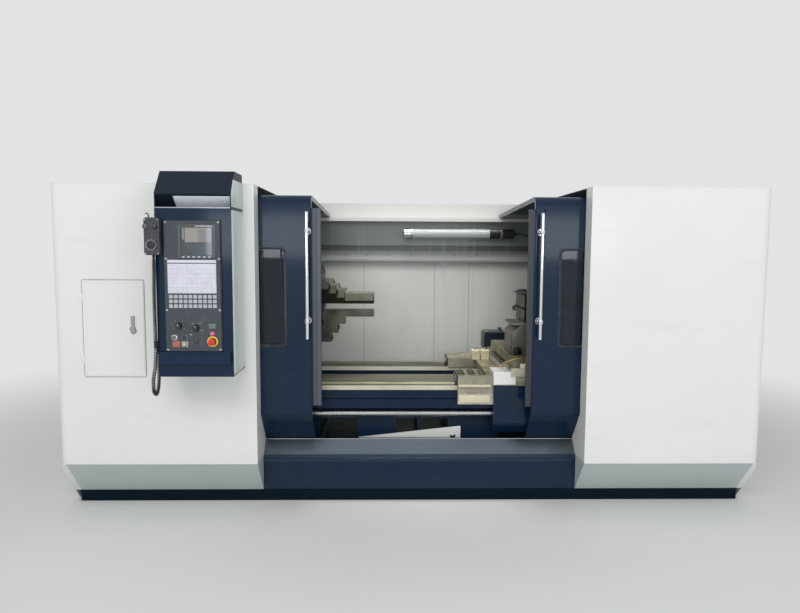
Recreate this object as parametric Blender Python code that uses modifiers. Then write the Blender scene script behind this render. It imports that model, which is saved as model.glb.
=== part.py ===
"""Large flat-bed CNC turning lathe with a full guard and two sliding doors.

Lengths are in metres, +X to the right, +Y to the back, +Z up. Every piece hangs
on one empty that stands on the floor at the middle of the plan, and its places
behind it are measured from the front face of the two white housings.
"""

import math

import bmesh
import bpy
from mathutils import Matrix, Vector

# Fits
GAP = 0.0003
RUN = 0.0006
OVERRUN = 0.02
SHEET = 0.003
PLATE = 0.012
FULL_TURN = 2 * math.pi

# Guard housings
LENGTH = 4.316
HEIGHT = 2.0
DEPTH = 1.80
CORNER_R = 0.05
CORNER_FIT_SHARE = 0.999
OPENING_LEFT = -0.956
OPENING_RIGHT = 1.058
FLANGE_DEPTH = 0.12
SKIRT_TOP = 0.303
SKIRT_BACK = 0.182
PLINTH_H = 0.076
PLINTH_FRONT = 0.186
PLINTH_SIDE_INSET = 0.031
PLINTH_BACK_INSET = 0.02
SIDE_FOOT = 0.004
FOOT_RUN = 0.06
CHEEK_CLEAR = 0.003
CHEEK_SET = 0.001

# Sliding doors
DOOR_FRONT = 0.13
DOOR_T = 0.03
DOOR_WIDTH = 1.057
DOOR_TOP = 1.951
DOOR_BEND_R = 0.055
DOOR_BACK = 1.45
DOOR_BACK_TOP = 1.8985
DOOR_BREAK_Z = 0.577
DOOR_FLAP_END = 0.285
LEFT_DOOR_EDGE = -0.634
RIGHT_DOOR_EDGE = 0.748
WINDOW_INSET = 0.165
WINDOW_WIDTH = 0.70
WINDOW_LOW = 1.02
WINDOW_HIGH = 1.62
WINDOW_R = 0.045
WINDOW_T = 0.008
WINDOW_SET_BACK = 0.010
HANDLE_LOW = 1.073
HANDLE_HIGH = 1.836
HANDLE_POST_LOW = 1.176
HANDLE_POST_HIGH = 1.728
HANDLE_R = 0.010
HANDLE_POST_R = 0.008
HANDLE_STAND = 0.055
LEFT_HANDLE_INSET = 0.022
RIGHT_HANDLE_INSET = 0.034
SEAL_LOW = 0.63
SEAL_HIGH = 1.87
TONGUE_OUT = 0.056
TONGUE_LAP = 0.060
TONGUE_T = 0.015
BUFFER_OUT = 0.037
BUFFER_SET_BACK = 0.005
BUFFER_T = 0.020

# Sill
SILL_LOW = 0.279
SILL_LIP = 0.022
SILL_RAIL_Z = 0.380
SILL_RAIL_FRONT = 0.272
SILL_RAIL_BACK = 0.300
TROUGH_FLOOR = 0.20
TROUGH_BACK = 0.402
TROUGH_LIP = 0.05
APRON_FOLD = 0.03
APRON_DROP = 0.012
GUARD_PLATE_LEFT = -0.353
GUARD_PLATE_RIGHT = 0.333
GUARD_PLATE_LOW = 0.355
GUARD_PLATE_HIGH = 0.432
GUARD_PLATE_T = 0.004

# Bed
WAY_Z = 0.73
BED_LEFT = -1.90
BED_RIGHT = 1.88
BED_FRONT = 0.30
BED_BACK = 1.20
FRONT_WAY_BACK = 0.47
WAY_BAND_DROP = 0.015
SLOT_FRONT = 0.76
SLOT_BACK = 0.98
SLOT_DEPTH = 0.07
RIDGE_FRONT = 0.34
RIDGE_BACK = 0.38
RIDGE_H = 0.012
BED_STEP_Z = 0.646
BED_STEP = 0.010
BED_SIDE_LOW = 0.575
LEG_FRONT = 0.41
LEG_BACK = 1.10
LEG_TOP = 0.545
BED_WINDOW_LOW = 0.30
BED_WINDOW_HIGH = 0.485
BED_WINDOW_R = 0.02
BED_WINDOWS = ((-0.62, -0.368), (-0.104, 0.042), (0.066, 0.247), (0.60, 0.85), (1.05, 1.30))
SCREW_Y = 0.345
SCREW_Z = 0.535
SCREW_R = 0.020
SCREW_END_R = 0.014
SCREW_LEFT = -0.78
SCREW_RIGHT = 1.82
BRACKET_LENGTH = 0.09
BRACKET_LOW = 0.49
BRACKET_FRONT = 0.303
BRACKET_TOP = 0.5745

# Spindle and chuck
SPINDLE_Y = 0.75
SPINDLE_Z = 1.235
SPINDLE_R = 0.11
SPINDLE_BORE_R = 0.050
SPINDLE_IN = 0.17
CHUCK_R = 0.285
CHUCK_BACK = -0.800
CHUCK_FACE = -0.624
CHUCK_EDGE = 0.010
CHUCK_STEPS = 64
JAW_COUNT = 3
JAW_WIDTH = 0.062
JAW_SLOT_DEPTH = 0.030
JAW_GRIP_R = 0.046
JAW_NOSE_R = 0.098
JAW_STEP_1_R = 0.150
JAW_STEP_2_R = 0.215
JAW_END_R = 0.280
JAW_NOSE_X = -0.258
JAW_STEP_1_X = -0.462
JAW_STEP_2_X = -0.515
JAW_STEP_3_X = -0.562
HEAD_LEFT = -1.80
HEAD_RIGHT = -0.815
HEAD_FRONT = 0.36
HEAD_BACK = 1.14
HEAD_TOP = 1.60
HEAD_SHOULDER_Z = 1.25
HEAD_TOP_FRONT = 0.47
HEAD_TOP_BACK = 1.03
HEAD_CORNER_R = 0.06

# Carriage
SADDLE_LEFT = 0.298
SADDLE_RIGHT = 1.098
SADDLE_FRONT = 0.262
SADDLE_BACK = 1.22
SADDLE_WING_TOP = 0.80
SADDLE_FRONT_WING_BACK = 0.50
SADDLE_REAR_WING_FRONT = 0.96
BRIDGE_LEFT = 0.50
BRIDGE_RIGHT = 1.096
BRIDGE_TOP = 0.845
SADDLE_LIP_LOW = 0.609
SADDLE_LIP_STEP_Z = 0.674
SADDLE_LIP_STEP = 0.012
SADDLE_SETBACK = 0.002
FRONT_BOSS_LEFT = 0.675
FRONT_BOSS_RIGHT = 0.95
FRONT_BOSS_BACK = 0.38
FRONT_BOSS_TOP = 0.824
APRON_LEFT = 0.528
APRON_RIGHT = 0.95
APRON_FACE = 0.25
APRON_TOP = 0.737
APRON_CREASE_Z = 0.490
APRON_LOW = 0.411
APRON_LOW_FRONT = 0.318
APRON_BACK = 0.392
APRON_NUT_TOP = 0.570
COVER_RIGHT = 0.672
COVER_FRONT = 0.252
COVER_BACK = 0.44
COVER_LOW = 0.742
COVER_TOP = 0.827
COVER_EDGE = 0.006
MOTOR_LEFT = 0.607
MOTOR_RIGHT = 0.797
MOTOR_LOW = 0.818
MOTOR_HIGH = 0.955
MOTOR_LENGTH = 0.17
MOTOR_CHAMFER = 0.02
SLIDE_LEFT = 0.63
SLIDE_RIGHT = 1.02
SLIDE_FRONT = 0.30
SLIDE_BACK = 1.02
SLIDE_TOP = 0.930
SLIDE_DOVETAIL = 0.030
SLIDE_DOVETAIL_H = 0.030
TOWER_LEFT = 0.653
TOWER_RIGHT = 1.00
TOWER_FRONT = 0.31
TOWER_BACK = 0.58
TOWER_TOP = 1.145
TOWER_NECK_LEFT = 0.727
TOWER_NECK_Z = 1.075
TURRET_X = 0.865
TURRET_Y = 0.445
TURRET_HALF = 0.135
TURRET_SIDES = 4
TURRET_TOP = 1.325
TURRET_SLOT_LOW = 1.195
TURRET_SLOT_HIGH = 1.240
TURRET_SLOT_DEPTH = 0.045
TURRET_STUD_R = 0.032
TURRET_STUD_H = 0.040
TOOL_SHANK = 0.032
TOOL_OUT = 0.075
TOOL_TIP = 0.022
TOOL_TIP_OUT = 0.011
TOOL_CHEEK_OUT = 0.0055

# Tailstock
TAIL_LEFT = 1.30
TAIL_RIGHT = 1.70
TAIL_FRONT = 0.40
TAIL_BACK = 1.10
TAIL_FOOT_TOP = 0.80
TAIL_WAIST_Z = 1.02
TAIL_WAIST_HALF = 0.11
TAIL_KNEE_HALF = 0.22
TAIL_KNEE_Z = 0.86
TAIL_BARREL_R = 0.125
TAIL_BARREL_STEPS = 20
QUILL_R = 0.055
QUILL_LEFT = 1.25
QUILL_RIGHT = 1.66
CENTRE_R = 0.030
CENTRE_TIP_X = 1.13
CENTRE_BODY_X = 1.185
TAIL_SHAFT_R = 0.018
TAIL_BORE_RIGHT = 1.67
WHEEL_X = 1.735
WHEEL_R = 0.12
WHEEL_RIM = 0.022
WHEEL_T = 0.022
WHEEL_STEPS = 40
WHEEL_GRIP_R = 0.012
WHEEL_GRIP_LENGTH = 0.07

# Rear guard and lamp
WALL_FRONT = 1.45
WALL_T = 0.020
WALL_TOP = 1.8397
GROOVE_DEPTH = 0.010
GROOVES = ((1.513, 1.530), (1.615, 1.637))
RAIL_FRONT = 1.385
RAIL_T = 0.028
BEAM_FRONT = 1.460
BEAM_BACK = 1.560
BEAM_TOP = 1.986
LAMP_LEFT = -0.022
LAMP_RIGHT = 0.852
LAMP_Z = 1.744
LAMP_R = 0.035
LAMP_FOOT_WIDTH = 0.05
LAMP_FOOT_INSET = 0.10

# Back of the machine
CABINET_RIGHT = -0.97
CABINET_DOOR_T = 0.020
CABINET_DOOR_LAP = 0.025
CABINET_WALL = 0.030
CABINET_DOOR_INSET = 0.07
CABINET_DOOR_LOW = 0.20
CABINET_DOOR_HIGH = 1.88
BACK_PANEL_LEFT = 0.97

# Service hatch
HATCH_LEFT = -1.980
HATCH_RIGHT = -1.617
HATCH_LOW = 0.848
HATCH_HIGH = 1.428
HATCH_LAP = 0.010
HATCH_R = 0.012
LATCH_X = -1.685
LATCH_Z = 1.130
LATCH_R = 0.018
LATCH_T = 0.010
LATCH_BAR_HALF = 0.010
LATCH_BAR_LENGTH = 0.085

# Control box
BOX_LEFT = -1.440
BOX_RIGHT = -1.023
BOX_OUT = 0.290
BOX_LOW = 0.905
BOX_HIGH = 1.838
BOX_EDGE = 0.006
LEDGE_LOW = 0.984
LEDGE_HIGH = 1.048
LEDGE_OUT = 0.026
LEDGE_INSET = 0.010
HOOD_TOP = 2.050
HOOD_CREASE_Z = 1.925
HOOD_NOSE = 0.010
HOOD_SLOPE_BACK = 0.190
HOOD_LIP = 0.008
HOOD_CHEEK = 0.005
HOOD_EDGE = 0.002
HOOD_NICHE_BACK = 0.212
PANEL_LEFT = -1.387
PANEL_RIGHT = -1.083
PANEL_LOW = 1.052
PANEL_HIGH = 1.770
PANEL_T = 0.016
PANEL_R = 0.012
SCREEN_LEFT = -1.298
SCREEN_RIGHT = -1.122
SCREEN_LOW = 1.579
SCREEN_HIGH = 1.737
SCREEN_T = 0.004
SCREEN_POCKET = 0.006
KEYPAD_LEFT = -1.370
KEYPAD_RIGHT = -1.105
KEYPAD_LOW = 1.374
KEYPAD_HIGH = 1.557
KEYPAD_T = 0.003
SELECTOR_X = -1.315
SELECTOR_Z = 1.195
OVERRIDE_X = -1.221
OVERRIDE_Z = 1.184
KNOB_R = 0.017
KNOB_FACE_SHARE = 0.9
KNOB_GRIP_SHARE = 0.8
KNOB_H = 0.018
KNOB_GRIP_HALF = 0.005
KNOB_GRIP_H = 0.008
START_X = -1.342
START_Z = 1.128
START_R = 0.011
START_H = 0.010
ESTOP_X = -1.133
ESTOP_Z = 1.106
ESTOP_R = 0.020
ESTOP_H = 0.026
ESTOP_NECK_SHARE = 0.6
ESTOP_UNDER_SHARE = 0.4
ESTOP_BROW_SHARE = 0.5
ESTOP_SHOULDER_SHARE = 0.8
ESTOP_CROWN_SHARE = 0.95
STEM_R = 0.007
STEM_LENGTH = 0.010
BUTTON_TRAVEL = 0.004

# Hand pulse pendant
HOLDER_LEFT = -1.486
HOLDER_LOW = 1.64
HOLDER_HIGH = 1.76
HOLDER_T = 0.004
HOLDER_LAP = 0.025
PENDANT_LEFT = -1.482
PENDANT_RIGHT = -1.398
PENDANT_LOW = 1.583
PENDANT_HIGH = 1.786
PENDANT_T = 0.046
PENDANT_R = 0.016
DIAL_R = 0.030
DIAL_FACE_SHARE = 0.9
DIAL_H = 0.012
DIAL_RISE = 0.055
CORD_R = 0.0115
CORD_STEPS = 72
GLAND_HALF = 0.0165
GLAND_H = 0.040
GLAND_Z = 1.06
CORD_ROUTE = (
    (-1.4400, -0.3176, 1.5827),
    (-1.4405, -0.3176, 1.50),
    (-1.4440, -0.3165, 1.38),
    (-1.4450, -0.3140, 1.20),
    (-1.4460, -0.3090, 1.06),
    (-1.4540, -0.3040, 0.965),
    (-1.4680, -0.2980, 0.885),
    (-1.4700, -0.2840, 0.817),
    (-1.4620, -0.2580, 0.803),
    (-1.4570, -0.2430, 0.87),
    (-1.4570, -0.2400, 0.97),
    (-1.4570, -0.2400, 1.0597),
)

FRONTMOST = BOX_OUT + HOLDER_T + PENDANT_T + DIAL_H + 2 * GAP
BACKMOST = DEPTH + CABINET_DOOR_T + GAP
FRONT_Y = (FRONTMOST - BACKMOST) / 2
HALF_LENGTH = LENGTH / 2
INNER_X = HALF_LENGTH - SHEET - GAP

# Scene and helpers
for old in list(bpy.data.objects):
    bpy.data.objects.remove(old, do_unlink=True)

PARTS = bpy.data.collections.new("cnc_lathe")
CUTTERS = bpy.data.collections.new("cutters")
bpy.context.scene.collection.children.link(PARTS)
bpy.context.scene.collection.children.link(CUTTERS)
CUTTERS.hide_render = True

ROOT = bpy.data.objects.new("lathe_frame", None)
ROOT.location = (0, FRONT_Y, 0)
PARTS.objects.link(ROOT)

PLANES = {
    "XY": (Vector((1, 0, 0)), Vector((0, 1, 0)), Vector((0, 0, 1))),
    "YZ": (Vector((0, 1, 0)), Vector((0, 0, 1)), Vector((1, 0, 0))),
    "XZ": (Vector((1, 0, 0)), Vector((0, 0, 1)), Vector((0, -1, 0))),
}
AXES = {"X": Vector((1, 0, 0)), "Y": Vector((0, 1, 0)), "Z": Vector((0, 0, 1))}


def paint(name, colour, roughness, metallic=0.0):
    """A plain Principled material with the piece's colour."""
    material = bpy.data.materials.new(name)
    material.use_nodes = True
    shader = material.node_tree.nodes["Principled BSDF"]
    shader.inputs["Base Color"].default_value = (*colour, 1.0)
    shader.inputs["Roughness"].default_value = roughness
    shader.inputs["Metallic"].default_value = metallic
    return material


WHITE = paint("white_paint", (0.76, 0.78, 0.75), 0.35)
GREY = paint("grey_paint", (0.30, 0.35, 0.34), 0.40)
NAVY = paint("navy_paint", (0.020, 0.035, 0.070), 0.22)
DARK = paint("dark_paint", (0.010, 0.018, 0.028), 0.45)
BLACK = paint("black_plastic", (0.012, 0.012, 0.014), 0.40)
CAST = paint("cast_iron", (0.05, 0.055, 0.05), 0.50, 0.4)
STEEL = paint("ground_steel", (0.50, 0.49, 0.45), 0.28, 1.0)
STAINLESS = paint("stainless", (0.50, 0.54, 0.58), 0.22, 1.0)
CHROME = paint("chrome", (0.80, 0.81, 0.83), 0.08, 1.0)
STONE = paint("wall_grey", (0.30, 0.30, 0.27), 0.45)
RUBBER = paint("rubber", (0.06, 0.06, 0.065), 0.70)
GLASS = paint("window_glass", (0.02, 0.03, 0.035), 0.05)
PALE = paint("pale_plastic", (0.72, 0.72, 0.74), 0.45)
RED = paint("red_plastic", (0.55, 0.03, 0.03), 0.35)
GREEN = paint("green_plastic", (0.03, 0.35, 0.12), 0.35)


def seated(name, mesh, material, pivot=(0, 0, 0)):
    """A named piece with its origin on the pivot, on the lathe's empty."""
    mesh.transform(Matrix.Translation(-Vector(pivot)))
    mesh.name = name
    mesh.materials.clear()
    mesh.materials.append(material)
    piece = bpy.data.objects.new(name, mesh)
    piece.parent = ROOT
    piece.location = pivot
    PARTS.objects.link(piece)
    return piece


def cutter(name, mesh):
    """A helper that the solids are cut by, or joined with, and that isn't a piece."""
    tool = bpy.data.objects.new(name, mesh)
    tool.parent = ROOT
    tool.hide_render = True
    tool.display_type = "WIRE"
    CUTTERS.objects.link(tool)
    return tool


def boolean(piece, tool, operation="DIFFERENCE"):
    change = piece.modifiers.new(tool.name, "BOOLEAN")
    change.operation = operation
    change.solver = "EXACT"
    change.object = tool
    return change


def bevel(piece, width, segments=1, angle=40):
    change = piece.modifiers.new("edges", "BEVEL")
    change.width = width
    change.segments = segments
    change.limit_method = "ANGLE"
    change.angle_limit = math.radians(angle)
    return change


def smooth(piece, angle=35):
    piece.data.shade_smooth()
    piece.data.set_sharp_from_angle(angle=math.radians(angle))
    return piece


def block(low, high):
    """A box between two corners."""
    work = bmesh.new()
    bmesh.ops.create_cube(work, size=1)
    size = [top - bottom for bottom, top in zip(low, high)]
    middle = [(top + bottom) / 2 for bottom, top in zip(low, high)]
    bmesh.ops.scale(work, vec=size, verts=work.verts)
    bmesh.ops.translate(work, vec=middle, verts=work.verts)
    mesh = bpy.data.meshes.new("block")
    work.to_mesh(mesh)
    work.free()
    return mesh


def rod(axis, start, length, radius, end_radius=None, steps=24):
    """A cylinder or cone that runs from a point along an axis."""
    work = bmesh.new()
    bmesh.ops.create_cone(
        work,
        cap_ends=True,
        segments=steps,
        radius1=radius,
        radius2=radius if end_radius is None else end_radius,
        depth=length,
    )
    along = AXES[axis]
    turn = Vector((0, 0, 1)).rotation_difference(along).to_matrix().to_4x4()
    middle = Vector(start) + along * length / 2
    work.transform(Matrix.Translation(middle) @ turn)
    work.normal_update()
    bmesh.ops.recalc_face_normals(work, faces=work.faces)
    mesh = bpy.data.meshes.new("rod")
    work.to_mesh(mesh)
    work.free()
    return mesh


def outline(plane, loops, low, high):
    """A flat outline, with holes where loops lie inside it, given its thickness."""
    across, up, out = PLANES[plane]
    curve = bpy.data.curves.new("outline", "CURVE")
    curve.dimensions = "2D"
    curve.fill_mode = "BOTH"
    curve.extrude = (high - low) / 2
    for loop in loops:
        spline = curve.splines.new("POLY")
        spline.points.add(len(loop) - 1)
        for point, (u, v) in zip(spline.points, loop):
            point.co = (u, v, 0, 1)
        spline.use_cyclic_u = True
    sketch = bpy.data.objects.new("outline", curve)
    depth = (high + low) / 2
    carry = out if plane != "XZ" else -out
    frame = Matrix((across, up, out)).transposed().to_4x4()
    frame.translation = carry * depth
    sketch.matrix_world = frame
    CUTTERS.objects.link(sketch)
    graph = bpy.context.evaluated_depsgraph_get()
    graph.update()
    mesh = bpy.data.meshes.new_from_object(sketch.evaluated_get(graph))
    mesh.transform(frame)
    work = bmesh.new()
    work.from_mesh(mesh)
    bmesh.ops.remove_doubles(work, verts=work.verts, dist=GAP / 10)
    bmesh.ops.recalc_face_normals(work, faces=work.faces)
    work.to_mesh(mesh)
    work.free()
    bpy.data.objects.remove(sketch, do_unlink=True)
    return mesh


def tube(points, radius, resolution=3):
    """A round bar or cord along a line of points, as a closed mesh."""
    curve = bpy.data.curves.new("tube", "CURVE")
    curve.dimensions = "3D"
    curve.bevel_depth = radius
    curve.bevel_resolution = resolution
    curve.use_fill_caps = True
    spline = curve.splines.new("POLY")
    spline.points.add(len(points) - 1)
    for point, place in zip(spline.points, points):
        point.co = (*place, 1)
    sketch = bpy.data.objects.new("tube", curve)
    CUTTERS.objects.link(sketch)
    graph = bpy.context.evaluated_depsgraph_get()
    graph.update()
    mesh = bpy.data.meshes.new_from_object(sketch.evaluated_get(graph))
    work = bmesh.new()
    work.from_mesh(mesh)
    bmesh.ops.remove_doubles(work, verts=work.verts, dist=GAP / 10)
    bmesh.ops.recalc_face_normals(work, faces=work.faces)
    work.to_mesh(mesh)
    work.free()
    bpy.data.objects.remove(sketch, do_unlink=True)
    return mesh


def turned(name, profile, axis, centre, material, steps, closed=False):
    """A turned piece: (along, radius) points down its outer side, spun by a Screw."""
    mesh = bpy.data.meshes.new(name)
    count = len(profile)
    edges = [(i, i + 1) for i in range(count - 1)]
    if closed:
        edges.append((count - 1, 0))
    mesh.from_pydata([(radius, 0, along) for along, radius in profile], edges, [])
    mesh.materials.append(material)
    piece = bpy.data.objects.new(name, mesh)
    piece.parent = ROOT
    piece.location = centre
    piece.rotation_euler = Vector((0, 0, 1)).rotation_difference(AXES[axis]).to_euler()
    PARTS.objects.link(piece)
    spin = piece.modifiers.new("spin", "SCREW")
    spin.axis = "Z"
    spin.angle = FULL_TURN
    spin.steps = steps
    spin.render_steps = steps
    spin.use_merge_vertices = True
    spin.merge_threshold = 0.0001
    spin.use_smooth_shade = False
    return piece


def arc(centre, radius, start, end, steps):
    """Points on an arc, in degrees."""
    points = []
    for i in range(steps + 1):
        angle = math.radians(start + (end - start) * i / steps)
        points.append((centre[0] + radius * math.cos(angle), centre[1] + radius * math.sin(angle)))
    return points


def rounded_rectangle(left, low, right, high, radius, steps=4):
    return (
        arc((right - radius, high - radius), radius, 0, 90, steps)
        + arc((left + radius, high - radius), radius, 90, 180, steps)
        + arc((left + radius, low + radius), radius, 180, 270, steps)
        + arc((right - radius, low + radius), radius, 270, 360, steps)
    )


def rounded_path(points, radius, steps=4):
    """An open line with each inner corner that has a radius replaced by an arc."""
    result = [points[0]]
    for before, here, after, r in zip(points, points[1:], points[2:], radius):
        a = (Vector(before) - Vector(here)).normalized()
        b = (Vector(after) - Vector(here)).normalized()
        if not r:
            result.append(here)
            continue
        half = a.angle(b) / 2
        reach = r / math.tan(half)
        middle = Vector(here) + (a + b).normalized() * (r / math.sin(half))
        first = Vector(here) + a * reach - middle
        last = Vector(here) + b * reach - middle
        turn = first.angle_signed(last)
        for i in range(steps + 1):
            step = Matrix.Rotation(-turn * i / steps, 2) @ first
            result.append(tuple(middle + step))
    result.append(points[-1])
    return result


def band(path, thickness):
    """The closed outline of a folded sheet: the path and its copy to the left of it."""
    other = []
    for i, here in enumerate(path):
        ahead = Vector(path[min(i + 1, len(path) - 1)]) - Vector(path[min(i, len(path) - 2)])
        back = Vector(path[max(i, 1)]) - Vector(path[max(i - 1, 0)])
        n1 = Vector((-ahead.y, ahead.x)).normalized()
        n2 = Vector((-back.y, back.x)).normalized()
        mitre = (n1 + n2).normalized()
        other.append(tuple(Vector(here) + mitre * thickness / mitre.dot(n1)))
    return list(path) + other[::-1]


def moved(places, step):
    return [(u + step[0], v + step[1]) for u, v in places]


# Base
plinth_end = INNER_X - PLINTH_SIDE_INSET
plinth = seated(
    "base_plinth",
    block((-plinth_end, PLINTH_FRONT, 0), (plinth_end, DEPTH - PLINTH_BACK_INSET, PLINTH_H)),
    DARK,
)
bevel(plinth, SHEET)

# Guard housings
SKIRT_SLOPE = (SKIRT_TOP - PLINTH_H) / SKIRT_BACK
SKIRT_LEAN = math.atan2(SKIRT_BACK, SKIRT_TOP - PLINTH_H)
CORNER_CUT_Z = SKIRT_TOP - (CORNER_R + GAP) * SKIRT_SLOPE
FLAP_RUN = Vector((DOOR_FLAP_END - DOOR_FRONT, SILL_RAIL_Z + GAP - DOOR_BREAK_Z)).normalized()
CHEEK_STEP = Vector((FLAP_RUN.y, -FLAP_RUN.x)) * CHEEK_CLEAR
CHEEK = [
    (SKIRT_BACK + CHEEK_SET, PLINTH_H + GAP),
    (DOOR_FLAP_END + CHEEK_STEP.x, PLINTH_H + GAP),
    (DOOR_FLAP_END + CHEEK_STEP.x, SILL_RAIL_Z + CHEEK_STEP.y),
    (DOOR_FRONT + CHEEK_STEP.x, DOOR_BREAK_Z + CHEEK_STEP.y),
    (FLANGE_DEPTH + GAP, DOOR_BREAK_Z + CHEEK_STEP.y),
    (FLANGE_DEPTH + GAP, SKIRT_TOP - GAP),
    (CHEEK_SET, SKIRT_TOP - GAP),
]


def housing(side, inner, side_name):
    """Front panel, skirt, side panel and top panel of one housing; side is -1 or 1."""
    outer = side * HALF_LENGTH
    top_under = HEIGHT - SHEET - GAP
    # The front panel is one folded sheet: inner flange, front, rounded outer corner.
    path = [(inner, FLANGE_DEPTH), (inner, 0), (outer, 0), (outer, CORNER_R)]
    path = rounded_path(path, (0, CORNER_R * CORNER_FIT_SHARE), 6)
    sheet = band(path, SHEET if side > 0 else -SHEET)
    front = seated(
        f"{side_name}_front_panel", outline("XY", [sheet], SKIRT_TOP + GAP, top_under), WHITE
    )
    # The skirt is a sloped plate whose outer end follows the rounded corner.
    plan = [(inner, FLANGE_DEPTH + SKIRT_BACK), (inner, 0), (outer, 0)]
    plan.append((outer, FLANGE_DEPTH + SKIRT_BACK))
    body = rounded_path(plan, (0, CORNER_R * CORNER_FIT_SHARE), 6)
    across = SHEET / math.cos(SKIRT_LEAN)
    profile = [(0, SKIRT_TOP), (SKIRT_BACK, PLINTH_H + GAP)]
    profile += moved(profile[::-1], (across, 0))
    slab = sorted((inner + side * SHEET / 2, outer + side * OVERRUN))
    skirt = seated(f"{side_name}_skirt", outline("YZ", [profile], *slab), GREY)
    mask = cutter(f"{side_name}_plan", outline("XY", [body], SIDE_FOOT, SKIRT_TOP + OVERRUN))
    boolean(skirt, mask, "INTERSECT")
    slot = [outer - side * (SHEET + GAP), outer + side * OVERRUN]
    relief = cutter(
        f"{side_name}_relief",
        block((min(slot), CORNER_R, 0), (max(slot), SKIRT_BACK + OVERRUN, SKIRT_TOP)),
    )
    boolean(skirt, relief)
    # A cheek closes the inner end, up to the line of the door's flap.
    cheek_plate = sorted((inner, inner + side * SHEET))
    cheek_body = cutter(f"{side_name}_cheek", outline("YZ", [CHEEK], *cheek_plate))
    boolean(skirt, cheek_body, "UNION")
    # The side panel follows the skirt's slope down to the floor.
    edge = [
        (CORNER_R + GAP, top_under),
        (CORNER_R + GAP, CORNER_CUT_Z),
        (SKIRT_BACK, PLINTH_H),
        (SKIRT_BACK + FOOT_RUN, SIDE_FOOT),
        (DEPTH, SIDE_FOOT),
        (DEPTH, top_under),
    ]
    faces = sorted((outer - side * SHEET, outer))
    seated(f"{side_name}_side_panel", outline("YZ", [edge], *faces), WHITE)
    lid = rounded_path([(inner, DEPTH), (inner, 0), (outer, 0), (outer, DEPTH)], (0, CORNER_R), 6)
    seated(
        f"{side_name}_top_panel", outline("XY", [lid], HEIGHT - SHEET, HEIGHT), WHITE
    )
    return front


left_front = housing(-1, OPENING_LEFT, "left")
housing(1, OPENING_RIGHT, "right")

hatch_hole = rounded_rectangle(
    HATCH_LEFT + HATCH_LAP,
    HATCH_LOW + HATCH_LAP,
    HATCH_RIGHT - HATCH_LAP,
    HATCH_HIGH - HATCH_LAP,
    HATCH_R,
)
boolean(left_front, cutter("hatch_hole", outline("XZ", [hatch_hole], -OVERRUN, OVERRUN)))

# Sill, trough and apron
left_end = OPENING_LEFT + GAP
right_end = OPENING_RIGHT - GAP
sill_path = [
    (SKIRT_BACK, SILL_LOW - SILL_LIP),
    (SKIRT_BACK, SILL_LOW),
    (SILL_RAIL_FRONT, SILL_RAIL_Z),
    (SILL_RAIL_BACK, SILL_RAIL_Z),
    (SILL_RAIL_BACK, TROUGH_FLOOR),
    (TROUGH_BACK, TROUGH_FLOOR),
    (TROUGH_BACK, TROUGH_FLOOR + TROUGH_LIP),
]
seated("sill_tray", outline("YZ", [band(sill_path, -SHEET)], left_end, right_end), STAINLESS)

apron_face = SKIRT_BACK + SHEET + GAP
apron_path = [
    (apron_face + APRON_FOLD, SILL_LOW - APRON_DROP),
    (apron_face, SILL_LOW - APRON_DROP),
    (apron_face, PLINTH_H + GAP),
    (apron_face + APRON_FOLD, PLINTH_H + GAP),
]
seated("apron_panel", outline("YZ", [band(apron_path, SHEET)], left_end, right_end), NAVY)

plate_front = TROUGH_BACK - GAP - GUARD_PLATE_T
plate_foot = TROUGH_FLOOR + GAP
guard = [
    (GUARD_PLATE_LEFT, plate_foot),
    (GUARD_PLATE_RIGHT, plate_foot),
    (GUARD_PLATE_RIGHT, GUARD_PLATE_HIGH),
    (GUARD_PLATE_LEFT, GUARD_PLATE_LOW),
]
seated(
    "guard_plate", outline("XZ", [guard], plate_front, plate_front + GUARD_PLATE_T), WHITE
)

# Bed
bed_section = [
    (BED_FRONT, WAY_Z),
    (BED_FRONT, BED_STEP_Z),
    (BED_FRONT + BED_STEP, BED_STEP_Z - BED_STEP),
    (BED_FRONT + BED_STEP, BED_SIDE_LOW),
    (LEG_FRONT, LEG_TOP),
    (LEG_FRONT, PLINTH_H + GAP),
    (LEG_BACK, PLINTH_H + GAP),
    (LEG_BACK, LEG_TOP),
    (BED_BACK, BED_SIDE_LOW),
    (BED_BACK, WAY_Z),
    (SLOT_BACK, WAY_Z),
    (SLOT_BACK, WAY_Z - SLOT_DEPTH),
    (SLOT_FRONT, WAY_Z - SLOT_DEPTH),
    (SLOT_FRONT, WAY_Z - WAY_BAND_DROP),
    (FRONT_WAY_BACK, WAY_Z - WAY_BAND_DROP),
    (FRONT_WAY_BACK, WAY_Z),
    (RIDGE_BACK, WAY_Z),
    ((RIDGE_FRONT + RIDGE_BACK) / 2, WAY_Z + RIDGE_H),
    (RIDGE_FRONT, WAY_Z),
]
bed = seated("bed", outline("YZ", [bed_section], BED_LEFT, BED_RIGHT), NAVY)
for number, (near, far) in enumerate(BED_WINDOWS):
    shape = rounded_rectangle(near, BED_WINDOW_LOW, far, BED_WINDOW_HIGH, BED_WINDOW_R)
    hole = outline("XZ", [shape], LEG_FRONT - OVERRUN, LEG_BACK + OVERRUN)
    boolean(bed, cutter(f"bed_window_{number}", hole))
for number, near in enumerate((SCREW_LEFT, SCREW_RIGHT - BRACKET_LENGTH)):
    arm = block(
        (near, BRACKET_FRONT, BRACKET_LOW), (near + BRACKET_LENGTH, LEG_FRONT + OVERRUN, BRACKET_TOP)
    )
    boolean(bed, cutter(f"screw_bracket_{number}", arm), "UNION")
    eye = rod(
        "X",
        (near - OVERRUN, SCREW_Y, SCREW_Z),
        BRACKET_LENGTH + 2 * OVERRUN,
        SCREW_END_R + RUN,
        steps=32,
    )
    boolean(bed, cutter(f"screw_eye_{number}", eye))

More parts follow.
